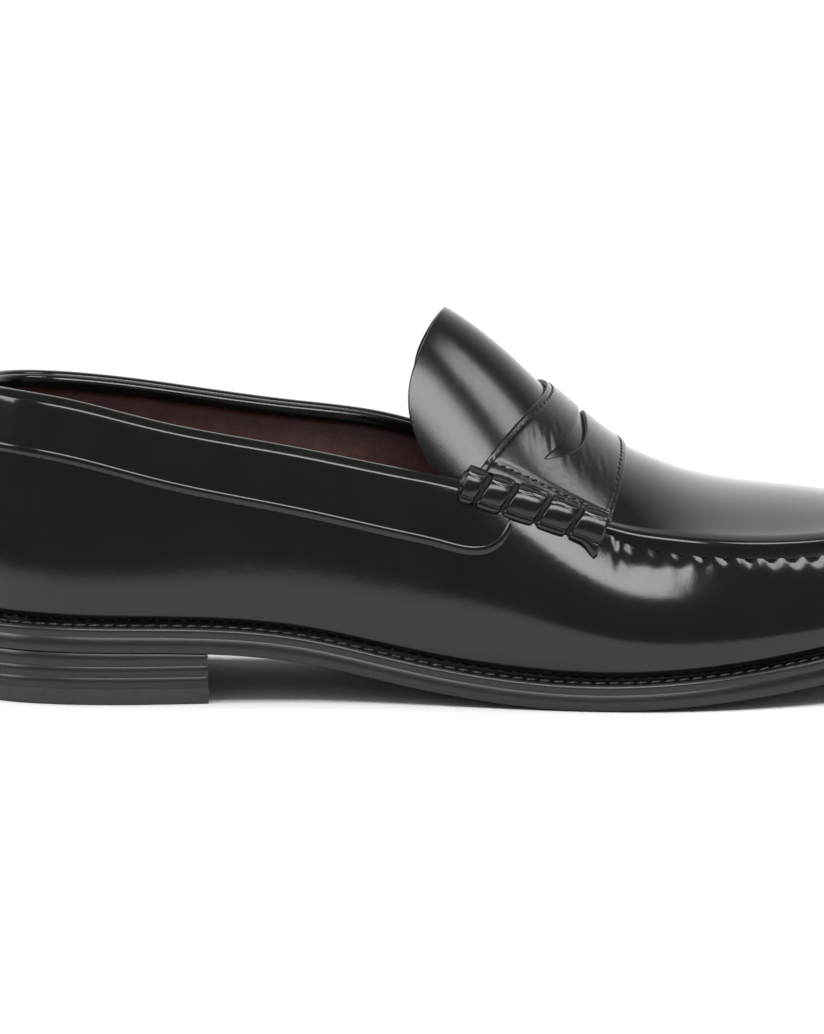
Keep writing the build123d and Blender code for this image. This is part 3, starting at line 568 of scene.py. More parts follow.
# ---- Moccasin wall -------------------------------------------------------------------------------
# One piece of black box calf, lasted round the foot from the back seam to the toe and back, glazed
# and polished. The hand-sewn seam gathers its top edge round the toe into small puckers.
RIBS = [
    (0, -1, 88.0, 6.5, 4.0, 3.0), (32, -1, 85.2, 9.5, 1.8, 3.9), (60, -1, 78.8, 8.5, 1.1, 3.1),
    (96, -1, 71.7, 6.8, 1.2, 2.2), (124, -1, 66.1, 7.2, 1.6, 2.8), (140, -1, 63.0, 8.2, 2.3, 4.4),
    (165, -1, 54.6, 10.5, 3.5, 8.0), (188, -1, 46.6, 12.8, 3.5, 8.0), (214, -1, 42.7, 11.5, 2.6, 5.0),
    (240, -1, 41.2, 11.5, 2.6, 5.0), (270, -1, 41.8, 12.0, 2.8, 5.0), (300, -1, 43.5, 13.0, 3.0, 5.0),
    (270, 1, 42.8, 12.0, 2.8, 5.0), (240, 1, 42.8, 11.5, 2.6, 5.0), (214, 1, 44.8, 11.5, 2.6, 5.0),
    (188, 1, 49.0, 12.8, 3.5, 8.0), (165, 1, 57.5, 10.5, 3.5, 8.0), (141, 1, 67.5, 6.0, 2.5, 4.0),
    (128, 1, 71.9, 3.5, 1.5, 2.0), (98, 1, 77.0, 3.5, 0.8, 1.6), (60, 1, 82.7, 7.5, 1.4, 2.8),
    (31, 1, 85.8, 7.0, 3.0, 3.0),
]
UPPER_THICK = 1.4
SEAM_PITCH = 6.6
SEAM_START_X = 184.0
SEAM_DROP = 0.6  # the seam's stitches lie this far below the wall's top

rib_u = [0.0] + [TOE_U if x == 300 else round_at(x, side) for x, side, *_ in RIBS[1:]] + [1.0]
rib_at = spline(rib_u, [rib[2:] for rib in RIBS] + [RIBS[0][2:]], closed=True)


def wall(u, h, out=0.0):
    """Point of the upper's outer face: u round the shoe, h from the welt (0) to the top line (1)."""
    u, h, out = np.broadcast_arrays(np.asarray(u, float), np.asarray(h, float), np.asarray(out, float))
    edge = outline(u)
    base = over_welt(0.0)(edge[..., 0])
    top, inset, belly, reach = np.moveaxis(rib_at(u), -1, 0)
    rise = top - base
    insets = [np.full_like(inset, FOOT_INSET), FOOT_INSET - 1.9 * belly, inset - reach, inset]
    heights = [0 * rise, 0.26 * rise, 0.72 * rise, rise]
    weight = [(1 - h) ** 3, 3 * h * (1 - h) ** 2, 3 * h * h * (1 - h), h ** 3]
    slope = [-(1 - h) ** 2, (1 - h) ** 2 - 2 * h * (1 - h), 2 * h * (1 - h) - h * h, h * h]
    depth = sum(w * i for w, i in zip(weight, insets))
    height = sum(w * z for w, z in zip(weight, heights))
    depth_slope = sum(s * i for s, i in zip(slope, insets))
    height_slope = sum(s * z for s, z in zip(slope, heights))
    long = np.hypot(depth_slope, height_slope)
    depth = depth - out * height_slope / long
    height = height + out * depth_slope / long
    flat = edge - depth[..., None] * outward(u)
    return np.concatenate([flat, (base + height)[..., None]], -1)


def below_top(u, drop):
    """The h of a line this many mm below the top line."""
    rise = rib_at(u)[..., 0] - over_welt(0.0)(outline(u)[..., 0])
    return 1 - drop / (0.84 * rise)


def drop_of(u, h):
    """How far below the top line a place on the wall is."""
    rise = rib_at(u)[..., 0] - over_welt(0.0)(outline(u)[..., 0])
    return (1 - h) * 0.84 * rise


def wall_out(u, h):
    """Outward unit normals of the wall."""
    normal = wall(u, h, 1.0) - wall(u, h, 0.0)
    return normal / np.linalg.norm(normal, axis=-1, keepdims=True)


seam_u = np.linspace(round_at(SEAM_START_X, -1), round_at(SEAM_START_X, 1), 1601)
seam_line = wall(seam_u, below_top(seam_u, SEAM_DROP), 0.25)
seam_run = np.r_[0, np.cumsum(np.linalg.norm(np.diff(seam_line, axis=0), axis=1))]


def pucker(u, drop):
    """How far the sewn edge is drawn in: holes at the stitches and gathers that fade downwards."""
    turns = np.interp(u, seam_u, seam_run) / SEAM_PITCH
    near = np.abs(turns - np.round(turns)) * SEAM_PITCH
    inside = (smooth_step(seam_u[0], seam_u[0] + 0.004, u)
              * (1 - smooth_step(seam_u[-1] - 0.004, seam_u[-1], u)))
    gather = 0.2 * np.cos(2 * np.pi * turns) * np.exp(-np.maximum(drop - 0.8, 0) / 1.8)
    hole = 0.6 * np.exp(-(near ** 2 + (drop - SEAM_DROP - 0.3) ** 2) / 0.35)
    roll_in = 0.9 * np.exp(-drop / 2.4)
    return -inside * (gather + hole + roll_in)


def sheet_piece(name, grids, thick, leather, edge=0.25, weld=0.02, flip=False, cut=None):
    """A cut piece of leather: grids of points in mm, given their thickness and eased cut edges."""
    verts, faces = [], []
    for grid in grids:
        faces += grid_faces(*grid.shape[:2], first=sum(len(part) for part in verts))
        verts.append(grid.reshape(-1, 3))
    piece = to_object(name, np.concatenate(verts), faces)
    finish_mesh(piece, weld=weld, flip=flip)
    piece.data.materials.append(leather)
    piece.data.materials.append(cut or leather)
    solid = piece.modifiers.new("thickness", "SOLIDIFY")
    solid.thickness = thick / 1000
    solid.offset = -1
    solid.material_offset_rim = 1
    if edge:
        ease = piece.modifiers.new("eased_edge", "BEVEL")
        ease.width = edge / 1000
        ease.segments = 2
        ease.limit_method = "ANGLE"
        ease.angle_limit = math.radians(55)
    apply_modifiers(piece)
    return finish_mesh(piece, flip=False, angle=50)


def calf(name, crease=0.0, scratch=0.25, gloss=0.13):
    """Black box calf, glazed and polished: a smooth hide with a fine grain under a clear finish."""
    material, tree, shader = new_material(
        name, Roughness=gloss, Specular_IOR_Level=0.5, IOR=1.5)
    place = add_node(tree, "ShaderNodeTexCoord").outputs["Object"]
    cloud = add_node(tree, "ShaderNodeTexNoise", {"Vector": place}, Scale=60.0, Detail=4.0)
    tint = add_node(tree, "ShaderNodeValToRGB", {"Fac": cloud.outputs["Fac"]})
    tint.color_ramp.elements[0].color = linear("0b0b0c")
    tint.color_ramp.elements[1].color = linear("171718")
    # Two grains over each other, about 0.7 and 1.4 mm apart.
    pores = add_node(tree, "ShaderNodeTexNoise", {"Vector": place}, Scale=1400.0, Detail=1.0)
    fine = add_node(tree, "ShaderNodeTexNoise", {"Vector": place}, Scale=700.0, Detail=4.0)
    grain = add_node(tree, "ShaderNodeMath", {0: pores.outputs["Fac"], 1: fine.outputs["Fac"]})
    first = add_node(tree, "ShaderNodeBump", {"Height": grain.outputs[0]}, Strength=scratch, Distance=0.00002)
    broad = add_node(tree, "ShaderNodeTexNoise", {"Vector": place}, Scale=45.0, Detail=3.0, Roughness=0.55)
    last = add_node(tree, "ShaderNodeBump", {"Height": broad.outputs["Fac"], "Normal": first.outputs[0]},
                    Strength=0.2, Distance=0.0004)
    if crease:
        # Creases 1.5 mm apart that run across the strap.
        squeeze = add_node(tree, "ShaderNodeMapping", {"Vector": place}, Scale=(520, 260, 90),
                           Rotation=(0, 0.7, 0.3))
        lines = add_node(tree, "ShaderNodeTexNoise", {"Vector": squeeze.outputs[0]}, Scale=1.0, Detail=2.0,
                         Distortion=0.4)
        last = add_node(tree, "ShaderNodeBump", {"Height": lines.outputs["Fac"], "Normal": last.outputs[0]},
                        Strength=crease, Distance=0.0005)
    tree.links.new(tint.outputs[0], shader.inputs["Base Color"])
    tree.links.new(last.outputs[0], shader.inputs["Normal"])
    rough = add_node(tree, "ShaderNodeMapRange", {"Value": fine.outputs["Fac"]},
                     From_Min=0.3, From_Max=0.7, To_Min=gloss * 0.9, To_Max=gloss * 1.12)
    tree.links.new(rough.outputs[0], shader.inputs["Roughness"])
    return material


box_calf = calf("glazed_box_calf")
cut_calf = mottled("cut_calf_edge", "2a2a2b", "4a4a4b", 1400.0, 0.6, 0.0001)
seam_ends = round_at(178, -1), round_at(178, 1)
u = np.concatenate([np.linspace(0.0003, seam_ends[0], 130, endpoint=False),
                    np.linspace(seam_ends[0], seam_ends[1], 640, endpoint=False),
                    np.linspace(seam_ends[1], 0.9997, 130)])[:, None]
down = np.r_[np.linspace(0, 6, 14), 6 * (60 / 6) ** np.linspace(0.06, 1, 24)]  # mm, dense at the seam
share = (down / down[-1])[None, :]
stop = 3.4 * (1 - smooth_step(139, 150, outline(u)[..., 0]))
length = drop_of(u, 0.002) - stop
drop = np.where(down[None, :] <= 6, stop + down[None, :],
                stop + 6 + (length - 6) * (down[None, :] - 6) / (down[-1] - 6))
h = below_top(u, drop)
grid = wall(u, h, pucker(u, drop) - 0.5 * np.exp(-(length + stop - drop) / 1.2))
piece = sheet_piece("moccasin_wall_calf", [grid], UPPER_THICK, box_calf, edge=0.2)
place_piece(piece, box_calf, "upper_leather", "moccasin_wall")

place_stitches(sew("seam_stitches", [(seam_line, wall_out(seam_u, 0.97))], SEAM_PITCH, 5.6, 0.8, 0.10),
               "apron_stitching")


# ---- Heel counter, toe puff and linings ------------------------------------------------------------
# Leather-board stiffeners are pasted between wall and lining at heel and toe. The lining is glazed
# kid, red-brown at the quarters, where it shows inside the collar.
def stiffener(u, h):
    """Thickness of the heel counter or toe puff behind the wall."""
    around = np.abs(np.mod(np.asarray(u) + 0.5, 1) - 0.5)
    heel = 1 - smooth_step(0.103, 0.127, around)
    toe = 1 - smooth_step(0.058, 0.082, np.abs(np.mod(u, 1) - TOE_U))
    return np.maximum(heel, toe) * (1 - smooth_step(0.58, 0.78, h))


board = mottled("counter_leather_board", "6a4a30", "8c6848", 800.0, 0.8, 0.0002)
dress("heel_counter", board)
dress("toe_puff", board)

LINING_THICK = 0.9
lining_ends = round_at(150, -1), round_at(150, 1)
for name, start, end in (("quarter_lining", lining_ends[1] - 1 + 0.0005, lining_ends[0] - 0.0005),
                         ("vamp_lining", lining_ends[0] + 0.0005, lining_ends[1] - 0.0005)):
    u = np.linspace(start, end, 240)[:, None]
    top = below_top(u, np.maximum(3.2 * (1 - smooth_step(139, 150, outline(u)[..., 0])), 1.2))
    h = 0.004 + (top - 0.004) * np.linspace(1, 0, 30)[None, :]
    soft = 0.12 * np.sin(u * 190) * np.sin(h * 9 + u * 60)
    grid = wall(u, h, -(UPPER_THICK + 0.4) - stiffener(u, h) + soft * 0.5 - 0.06)
    piece = sheet_piece(name + "_kid", [grid], LINING_THICK, brown_kid, edge=0.2)
    place_piece(piece, brown_kid, "lining_leather", name)


# ---- Back strip ----------------------------------------------------------------------------------
# A narrow calf strip sewn over the back seam, from the welt up to the collar band.
BAND_THICK = 1.0
BAND_END_X = 155.6
BAND_ROUND_X = 138.0


def band_drop(u):
    """Height of the collar band below the top line, with its rounded front end."""
    x = np.minimum(outline(u)[..., 0], BAND_END_X)
    share = np.clip((x - BAND_ROUND_X) / 18.4, 0, 1)
    return (14.2 + 0.0125 * x) * (1 - share ** 2.6) ** (1 / 2.6)


u = np.linspace(-0.0125, 0.0125, 25)[:, None]
low = below_top(u, drop_of(u, 0.012))
h = low + (below_top(u, band_drop(u) + 0.3) - low) * np.linspace(1, 0, 60)[None, :]
piece = sheet_piece("back_strip_calf", [wall(u, h, 0.3 + BAND_THICK)], BAND_THICK, box_calf, cut=cut_calf)
place_piece(piece, box_calf, "upper_leather", "back_strip")


# ---- Collar band ---------------------------------------------------------------------------------
# A calf overlay round the heel from roll to roll. Its top is turned over the collar, its lower edge
# is skived, left raised and sewn down with one row, and its front ends are cut round.
STITCH_UP = 1.95

band_ends = round_at(BAND_END_X, 1) - 1, round_at(BAND_END_X, -1)
ease = np.linspace(0, 1, 420)
u = band_ends[0] + (band_ends[1] - band_ends[0]) * ease
corner = 0.02 * np.linspace(0, 1, 60) ** 2  # closer columns where an end is cut round
u = np.unique(np.r_[u, band_ends[0] + corner, band_ends[1] - corner])[:, None]
tall = band_drop(u)
collar = 1 - smooth_step(139, 150, outline(u)[..., 0])
# The turned edge: a quick bend, a bevel 1.7 mm wide pressed by the iron, then round and down inside.
turn = np.radians(np.r_[0, 10, 20, 25, 27, 29, 31, 34, 60, 90, 120, 150])
steps = np.r_[0, 0.15, 0.15, 0.4, 0.45, 0.45, 0.4, 0.2, 0.25, 0.3, 0.3, 0.3]
turned_drop = -np.cumsum(steps * np.cos(turn))
turned_drop += 0.1 - turned_drop.min()
turned_out = 0.1 + BAND_THICK - np.cumsum(steps * np.sin(turn))
bend = turned_drop[0]
# Cross-section from the lower edge up: (mm above the edge, mm out), then the turn over the top.
up = np.array([0, 0.2, 0.5, 0.85, 1.1, 1.22, 1.35, 1.48, 1.6, 1.9, 3.0])
swell = np.array([-0.2, 0.0, 0.2, 0.3, 0.33, 0.3, 0.2, 0.08, 0.02, 0.0, 0.0])
rows = [(tall - np.minimum(rise, tall * 0.6), swelled) for rise, swelled in zip(up, swell)]
lip_up = np.minimum(3.0, tall * 0.6)
for share in np.linspace(0, 1, 9)[1:]:
    rows.append((tall - lip_up - (tall - lip_up - bend) * share, 0.0))
drops = np.concatenate([np.broadcast_to(np.maximum(drop, bend), u.shape) for drop, _ in rows], 1)
drops[:, 0] += 0.09 * np.sin(u[:, 0] * 2100) + 0.07 * np.sin(u[:, 0] * 3700 + 1.3)  # the knife's wander
outs = np.array([out for _, out in rows])[None, :] + 0.1 + BAND_THICK + 0 * drops
drops = np.concatenate([drops, np.where(collar > 0.02, turned_drop[None, :], bend)], 1)
outs = np.concatenate([outs, collar * turned_out[None, :] + (1 - collar) * (0.1 + BAND_THICK)], 1)
grid = wall(u, below_top(u, drops), outs)[:, ::-1]
piece = sheet_piece("collar_band_calf", [grid], 0.85, box_calf, edge=0.22, cut=cut_calf)
place_piece(piece, box_calf, "upper_leather", "collar_band")

u = np.linspace(round_at(BAND_ROUND_X + 8, 1) - 1, round_at(BAND_ROUND_X + 8, -1), 1200)
line = wall(u, below_top(u, band_drop(u) - STITCH_UP), 0.1 + BAND_THICK + 0.12)
place_stitches(sew("collar_stitches", [(line, wall_out(u, 0.8))], 2.5, 1.7, 0.62, 0.25), "collar_stitching")


# ---- Collar binding ------------------------------------------------------------------------------
# A narrow calf facing inside the collar. Its upper edge is turned over beside the band's, with a
# fine crease between the two, and its lower edge overlaps the lining by a few millimetres.
u = np.linspace(round_at(141.6, 1) - 1, round_at(141.6, -1), 420)[:, None]
face_drop = np.array([0.75, 0.3, 0.08, 0.0, 0.1, 0.45, 1.0, 1.8, 2.8, 3.8])[None, :]
face_out = -np.array([0.75, 0.95, 1.3, 1.8, 2.4, 2.9, 3.2, 3.4, 3.5, 3.55])[None, :]
grid = wall(u, below_top(u, face_drop), face_out)
piece = sheet_piece("collar_facing_calf", [grid], 0.55, box_calf, edge=0.15)
place_piece(piece, box_calf, "upper_leather", "collar_binding")


# ---- Apron ---------------------------------------------------------------------------------------
# The plug: a panel of the same calf, raised on the last. Its edge is turned down against the wall
# and sewn through by hand, which leaves a standing lip with a fine crest round the toe.
RIDGE_X = [118, 130, 141.7, 161.3, 170, 183.6, 194.1, 200.5, 209.3, 221, 232.6, 250, 262]
RIDGE_Z = [127, 118, 108.9, 92.9, 84.9, 73.1, 65.7, 62.6, 59.1, 56, 54.2, 52, 50]
JOIN_X = 181.0

x = np.linspace(118, 282, 83)
top_line = wall(np.linspace(0.02, 0.98, 8001), 1.0)
tip = int(np.argmax(top_line[:, 0]))
outer, inner = top_line[:tip], top_line[tip:][::-1]
outer = np.array([np.interp(x, outer[:, 0], outer[:, i]) for i in (1, 2)])
inner = np.array([np.interp(x, inner[:, 0], inner[:, i]) for i in (1, 2)])
half = (inner[0] - outer[0]) / 2
middle_z = (inner[1] + outer[1]) / 2
curve = (spline(RIDGE_X, RIDGE_Z)(np.minimum(x, 262)) - middle_z) / half ** 2
curve[x > 262] = np.interp(262, x, curve)
# Along x: the middle's y, its base height, the squared half width, the curvature and the tilt.
section = spline(x, np.c_[(inner[0] + outer[0]) / 2, middle_z, half ** 2, curve,
                          (inner[1] - outer[1]) / (2 * half)])


def instep(x, y, out=0.0):
    """Point of the instep's surface above (x, y), moved along its normal."""
    def height(x, y):
        middle, base, half_squared, curve, tilt = np.moveaxis(section(x), -1, 0)
        return base + tilt * (y - middle) + curve * (half_squared - (y - middle) ** 2)

    x, y = np.broadcast_arrays(np.asarray(x, float), np.asarray(y, float))
    z = height(x, y)
    slope_x = (height(x + 0.05, y) - height(x - 0.05, y)) / 0.1
    slope_y = (height(x, y + 0.05) - height(x, y - 0.05)) / 0.1
    normal = np.stack([-slope_x, -slope_y, np.ones_like(z)], -1)
    normal /= np.linalg.norm(normal, axis=-1, keepdims=True)
    return np.stack([x, y, z], -1) + np.asarray(out)[..., None] * normal


def across(x, v):
    """The y at a share v of the instep's half width, -1 at the outer side and 1 at the inner."""
    return section(x)[..., 0] + v * np.sqrt(section(x)[..., 2])


def apron_half(side, stations):
    """Plan points of one half: from the seam in to the middle line, fanned round the toe."""
    u = np.interp(stations, [0, 1], [round_at(JOIN_X, side), TOE_U])
    edge = wall(u, 1.0, -0.1)
    spine_x = np.minimum(edge[:, 0], 262.0)
    spine = np.stack([spine_x, section(spine_x)[..., 0]], -1)
    return edge, spine


stations = np.linspace(0, 1, 230)
edge_a, spine_a = apron_half(-1, stations)
edge_b, spine_b = apron_half(1, stations[::-1])
edge = np.concatenate([edge_a, edge_b[1:]])
spine = np.concatenate([spine_a, spine_b[1:]])
inward = np.stack([spine[:, 0] - edge[:, 0], spine[:, 1] - edge[:, 1]], -1)
reach = np.linalg.norm(inward, axis=1)
tangent = np.gradient(edge[:, :2], axis=0)
tangent /= np.linalg.norm(tangent, axis=1, keepdims=True)
side_in = np.stack([-tangent[:, 1], tangent[:, 0]], -1)
# The lip: (mm in, mm up), from beside the seam up to the crest and over it.
lip = np.array([(0.0, -0.5), (0.0, 0.6), (0.04, 1.6), (0.08, 2.4), (0.13, 2.85), (0.24, 3.08), (0.45, 3.25),
                (0.8, 3.46), (1.4, 3.8), (2.4, 4.3)])
from_end = np.minimum(np.linspace(0, 1, len(edge)), np.linspace(1, 0, len(edge)))
lip_rise = 0.72 + 0.28 * smooth_step(0, 0.09, from_end)
grid = []
for inside, up in lip:
    flat = edge[:, :2] + inside * side_in
    grid.append(np.c_[flat, edge[:, 2] + up * lip_rise])
end_in, end_up = lip[-1]
for share in np.linspace(0, 1, 40)[1:] ** 1.15:
    start = edge[:, :2] + end_in * side_in
    flat = start + (spine - start) * share
    surface = instep(flat[:, 0], flat[:, 1])
    first = instep(start[:, 0], start[:, 1])
    gap = edge[:, 2] + end_up * lip_rise - first[:, 2]
    away = np.linalg.norm(flat - start, axis=1)
    surface[:, 2] += gap * np.exp(-away / 9.0) * (1 - share) ** 0.5
    grid.append(surface)
grid = np.stack(grid, 1)
piece = sheet_piece("apron_calf", [grid], UPPER_THICK, box_calf, edge=0.0, weld=0.05, flip=True)
place_piece(piece, box_calf, "upper_leather", "apron")


# ---- Tongue --------------------------------------------------------------------------------------
# A free tab of the same calf, sewn to the apron under the strap. It stands up behind the strap and
# its wings curl out over the sides of the instep. Red-brown kid lines it.
tongue_edge = spline(
    [-1.0, -0.957, -0.85, -0.75, -0.6, -0.44, -0.22, 0, 0.22, 0.44, 0.6, 0.75, 0.85, 0.957, 1.0],
    [138.0, 134.3, 129.6, 129.3, 132.2, 135.6, 139.2, 141.2, 140.9, 138.6, 136.0, 133.6, 133.4, 136.6, 139.5])


def instep_grid(rear, front, reach, out, rows=60, columns=60):
    """Points between two cross lines of the instep, given as x for each share v."""
    v = np.linspace(-reach, reach, columns)[None, :] * np.ones((rows, 1))
    share = np.linspace(0, 1, rows)[:, None]
    x = rear(v) * (1 - share) + front(v) * share
    depth = out(v, share) if callable(out) else np.full_like(x, out)
    return instep(x, across(x, v), depth), v


tongue_calf = calf("tongue_box_calf", scratch=0.4, gloss=0.2)
curl = lambda v, share: -0.9 * np.exp(-share * 9) + 0.25 * np.sin(v * 7 + share * 5)
grid, _ = instep_grid(tongue_edge, lambda v: 0 * v + JOIN_X, 0.995, curl, 90, 120)
piece = sheet_piece("tongue_calf", [grid], UPPER_THICK, tongue_calf, edge=0.3)
place_piece(piece, tongue_calf, "upper_leather", "tongue")
under = lambda v, share: curl(v, share) - UPPER_THICK - 0.05
grid, _ = instep_grid(lambda v: tongue_edge(v) + 0.6, lambda v: 0 * v + JOIN_X, 0.925, under, 70, 90)
piece = sheet_piece("tongue_lining_kid", [grid], LINING_THICK, brown_kid, edge=0.2)
place_piece(piece, brown_kid, "lining_leather", "tongue_lining")


# ---- Saddle strap --------------------------------------------------------------------------------
# A calf strap across the instep, cut with the slot that the shoe is named for, backed with a thinner
# piece that shows through it, edges left raw and inked, and a stitch row round its rim.
STRAP_REACH = 0.94
BACK_THICK = 0.6
STRAP_THICK = 1.3
SLOT_END = 0.77


def strap_rear(v):
    return 169.5 - 23.6 * np.abs(v) ** 2.1


def strap_front(v):
    return 192.0 - 7.5 * v ** 2


def slot_rear(v):
    return 178.0 - 21.8 * np.abs(v) ** 2.6


def slot_front(v):
    end = slot_rear(SLOT_END)
    return end + (180.0 - end) * (1 - np.minimum(np.abs(v) / SLOT_END, 1) ** 4.6)


def cut_front(v):
    return np.where(np.abs(v) < SLOT_END, np.maximum(slot_front(v), slot_rear(v)), slot_rear(v))


strap_calf = calf("strap_box_calf", crease=0.06, scratch=0.4, gloss=0.25)
grid, _ = instep_grid(lambda v: strap_rear(v) + 2.5, lambda v: strap_front(v) - 1.5, STRAP_REACH,
                      0.1 + BACK_THICK, 30, 90)
piece = sheet_piece("strap_backing_calf", [grid], BACK_THICK, tongue_calf, edge=0.0)
place_piece(piece, tongue_calf, "upper_leather", "strap_backing")

STITCH_IN = 1.4  # the stitch rows lie this far inside the strap's edges
SIDE_V = 0.895
face_height = 0.2 + BACK_THICK + STRAP_THICK


def strap_face(x, v):
    """Height of the strap's face: dished beside the stitch rows and swollen at the rim and slot."""
    from_rear = x - strap_rear(v)
    from_front = strap_front(v) - x
    rim = np.minimum(from_rear, from_front)
    channel = -0.25 * np.exp(-((rim - STITCH_IN) / 0.4) ** 2)
    side = -0.3 * np.exp(-((np.abs(v) - SIDE_V) / 0.012) ** 2)
    fold = np.exp(-((np.abs(v) - 0.62) / 0.12) ** 2) * smooth_step(2, 6, rim)
    folds = 0.09 * fold * np.sin(x * 2.3 + v * 14) * np.sin(x * 0.7 - v * 9)
    skived = -0.8 * np.exp(-from_rear / 2.5)
    return face_height + channel + side + folds + skived


v = np.linspace(-1, 1, 181)
v = np.sign(v) * (1 - (1 - np.abs(v)) ** 1.15) * STRAP_REACH
v = np.unique(np.r_[v, -SLOT_END, SLOT_END])
share = np.linspace(0, 1, 34)[:, None]
halves = []
for first, second in ((strap_rear, slot_rear), (cut_front, strap_front)):
    x = first(v)[None, :] * (1 - share) + second(v)[None, :] * share
    spread = v[None, :] + 0 * x
    halves.append(instep(x, across(x, spread), strap_face(x, spread)))
piece = sheet_piece("saddle_strap_calf", halves, STRAP_THICK, strap_calf, weld=0.03, cut=cut_calf)
place_piece(piece, strap_calf, "upper_leather", "saddle_strap")


# The strap thread's second colour is its painted sheen on the twist.
strap_thread = thread_material("bonded_strap_thread", "101011", "262627")


def strap_line(x, v):
    """A stitch line on the strap through these places."""
    spot = across(x, v)
    points = instep(x, spot, strap_face(x, v) + 0.1)
    return points, instep(x, spot, np.ones_like(x)) - instep(x, spot, np.zeros_like(x))


v = np.linspace(-SIDE_V, SIDE_V, 400)
rows = [strap_line(strap_rear(v) + STITCH_IN, v), strap_line(strap_front(v) - STITCH_IN, v)]
for side in (-SIDE_V, SIDE_V):
    x = np.linspace(strap_rear(SIDE_V) + STITCH_IN + 1, strap_front(SIDE_V) - STITCH_IN - 1, 160)
    rows.append(strap_line(x, np.full(160, side)))
place_stitches(sew("strap_stitches", rows, 2.35, 1.75, 0.62, 0.3, strap_thread),
               "strap_stitching")


# ---- Beef rolls ----------------------------------------------------------------------------------
# The ends of strap and wall are rolled together over each side and whipped with waxed cord, so the
# leather swells into five pads. The front pad is cut to a flared tail.
ROLL_REAR_X = 141.6
ROLL_FRONT_X = 182.4
ROLL_STAND_OFF = 2.4
ROLL_GROOVES = [0.152, 0.335, 0.566, 0.787]


def roll_axes(side):
    """Rear end, unit vectors along, out from the shoe and up, and the length of one roll."""
    rear, front = [wall(round_at(x, side), 1.0, ROLL_STAND_OFF) for x in (ROLL_REAR_X, ROLL_FRONT_X)]
    length = np.linalg.norm(front - rear)
    along = (front - rear) / length
    out = np.array([0, side, 0.0]) - along * along[1] * side
    out /= np.linalg.norm(out)
    up = np.cross(along, out) * -side
    return rear, along, out, up * np.sign(up[2]), length


def roll_radius(s, theta, length):
    """The roll's radius at s along it and theta round it (0 out from the shoe, a right angle up)."""
    # A rounded square, flat on its outer face, with two leather lips above and a fold below.
    radius = ((np.abs(np.cos(theta)) / 5.1) ** 2.2 + (np.abs(np.sin(theta)) / 5.6) ** 2.2) ** (-1 / 2.2)
    angle = np.mod(theta + np.pi / 2, 2 * np.pi) - np.pi / 2
    for place, rise in ((0.78, 0.3), (1.15, 0.35)):
        past = angle - place - 0.04 * np.sin(s * 0.9 + place * 9)
        radius = radius + rise * smooth_step(-0.03, 0.03, past) * np.exp(-np.maximum(past, 0) / 0.3)
    under = angle + 0.62
    radius = radius - 0.55 * np.exp(-(under / 0.09) ** 2) + 0.25 * np.exp(-((under + 0.3) / 0.2) ** 2)
    for share in ROLL_GROOVES:
        away = np.abs(s - share * length - 1.1 * np.sin(theta))
        radius = radius - 1.1 * np.exp(-(away / 0.68) ** 3) - 0.3 * np.exp(-(away / 1.8) ** 2)
    tail = smooth_step(length - 6.5, length, s) * np.exp(-((angle + 1.25) / 0.42) ** 2)
    radius = radius + 3.4 * tail
    return radius * (1 - 0.4 * smooth_step(1.6, 0.0, s)) * (1 - 0.1 * smooth_step(length - 0.7, length, s))


def on_roll(axes, s, theta, out=0.0):
    """Points on a roll, or this far above its face."""
    rear, along, away, up, length = axes
    radius = roll_radius(s, theta, length) + out
    return (rear + along * s[..., None] + away * (np.cos(theta) * radius)[..., None]
            + up * (np.sin(theta) * radius)[..., None])


def cord_tree():
    """Geometry Nodes: a round cord along a line."""
    tree = bpy.data.node_groups.new("wound_cord", "GeometryNodeTree")
    tree.interface.new_socket("Line", in_out="INPUT", socket_type="NodeSocketGeometry")
    tree.interface.new_socket("Radius", in_out="INPUT", socket_type="NodeSocketFloat")
    tree.interface.new_socket("Thread", in_out="INPUT", socket_type="NodeSocketMaterial")
    tree.interface.new_socket("Cord", in_out="OUTPUT", socket_type="NodeSocketGeometry")
    given = add_node(tree, "NodeGroupInput").outputs
    curve = add_node(tree, "GeometryNodeMeshToCurve", {"Mesh": given["Line"]})
    bore = add_node(tree, "GeometryNodeCurvePrimitiveCircle", {"Radius": given["Radius"]}, Resolution=8)
    cord = add_node(tree, "GeometryNodeCurveToMesh",
                    {"Curve": curve.outputs[0], "Profile Curve": bore.outputs[0]})
    smooth = add_node(tree, "GeometryNodeSetShadeSmooth", {"Geometry": cord.outputs[0]})
    real = add_node(tree, "GeometryNodeRealizeInstances", {"Geometry": smooth.outputs[0]})
    dyed = add_node(tree, "GeometryNodeSetMaterial",
                    {"Geometry": real.outputs[0], "Material": given["Thread"]})
    add_node(tree, "NodeGroupOutput", {"Cord": dyed.outputs[0]})
    return tree


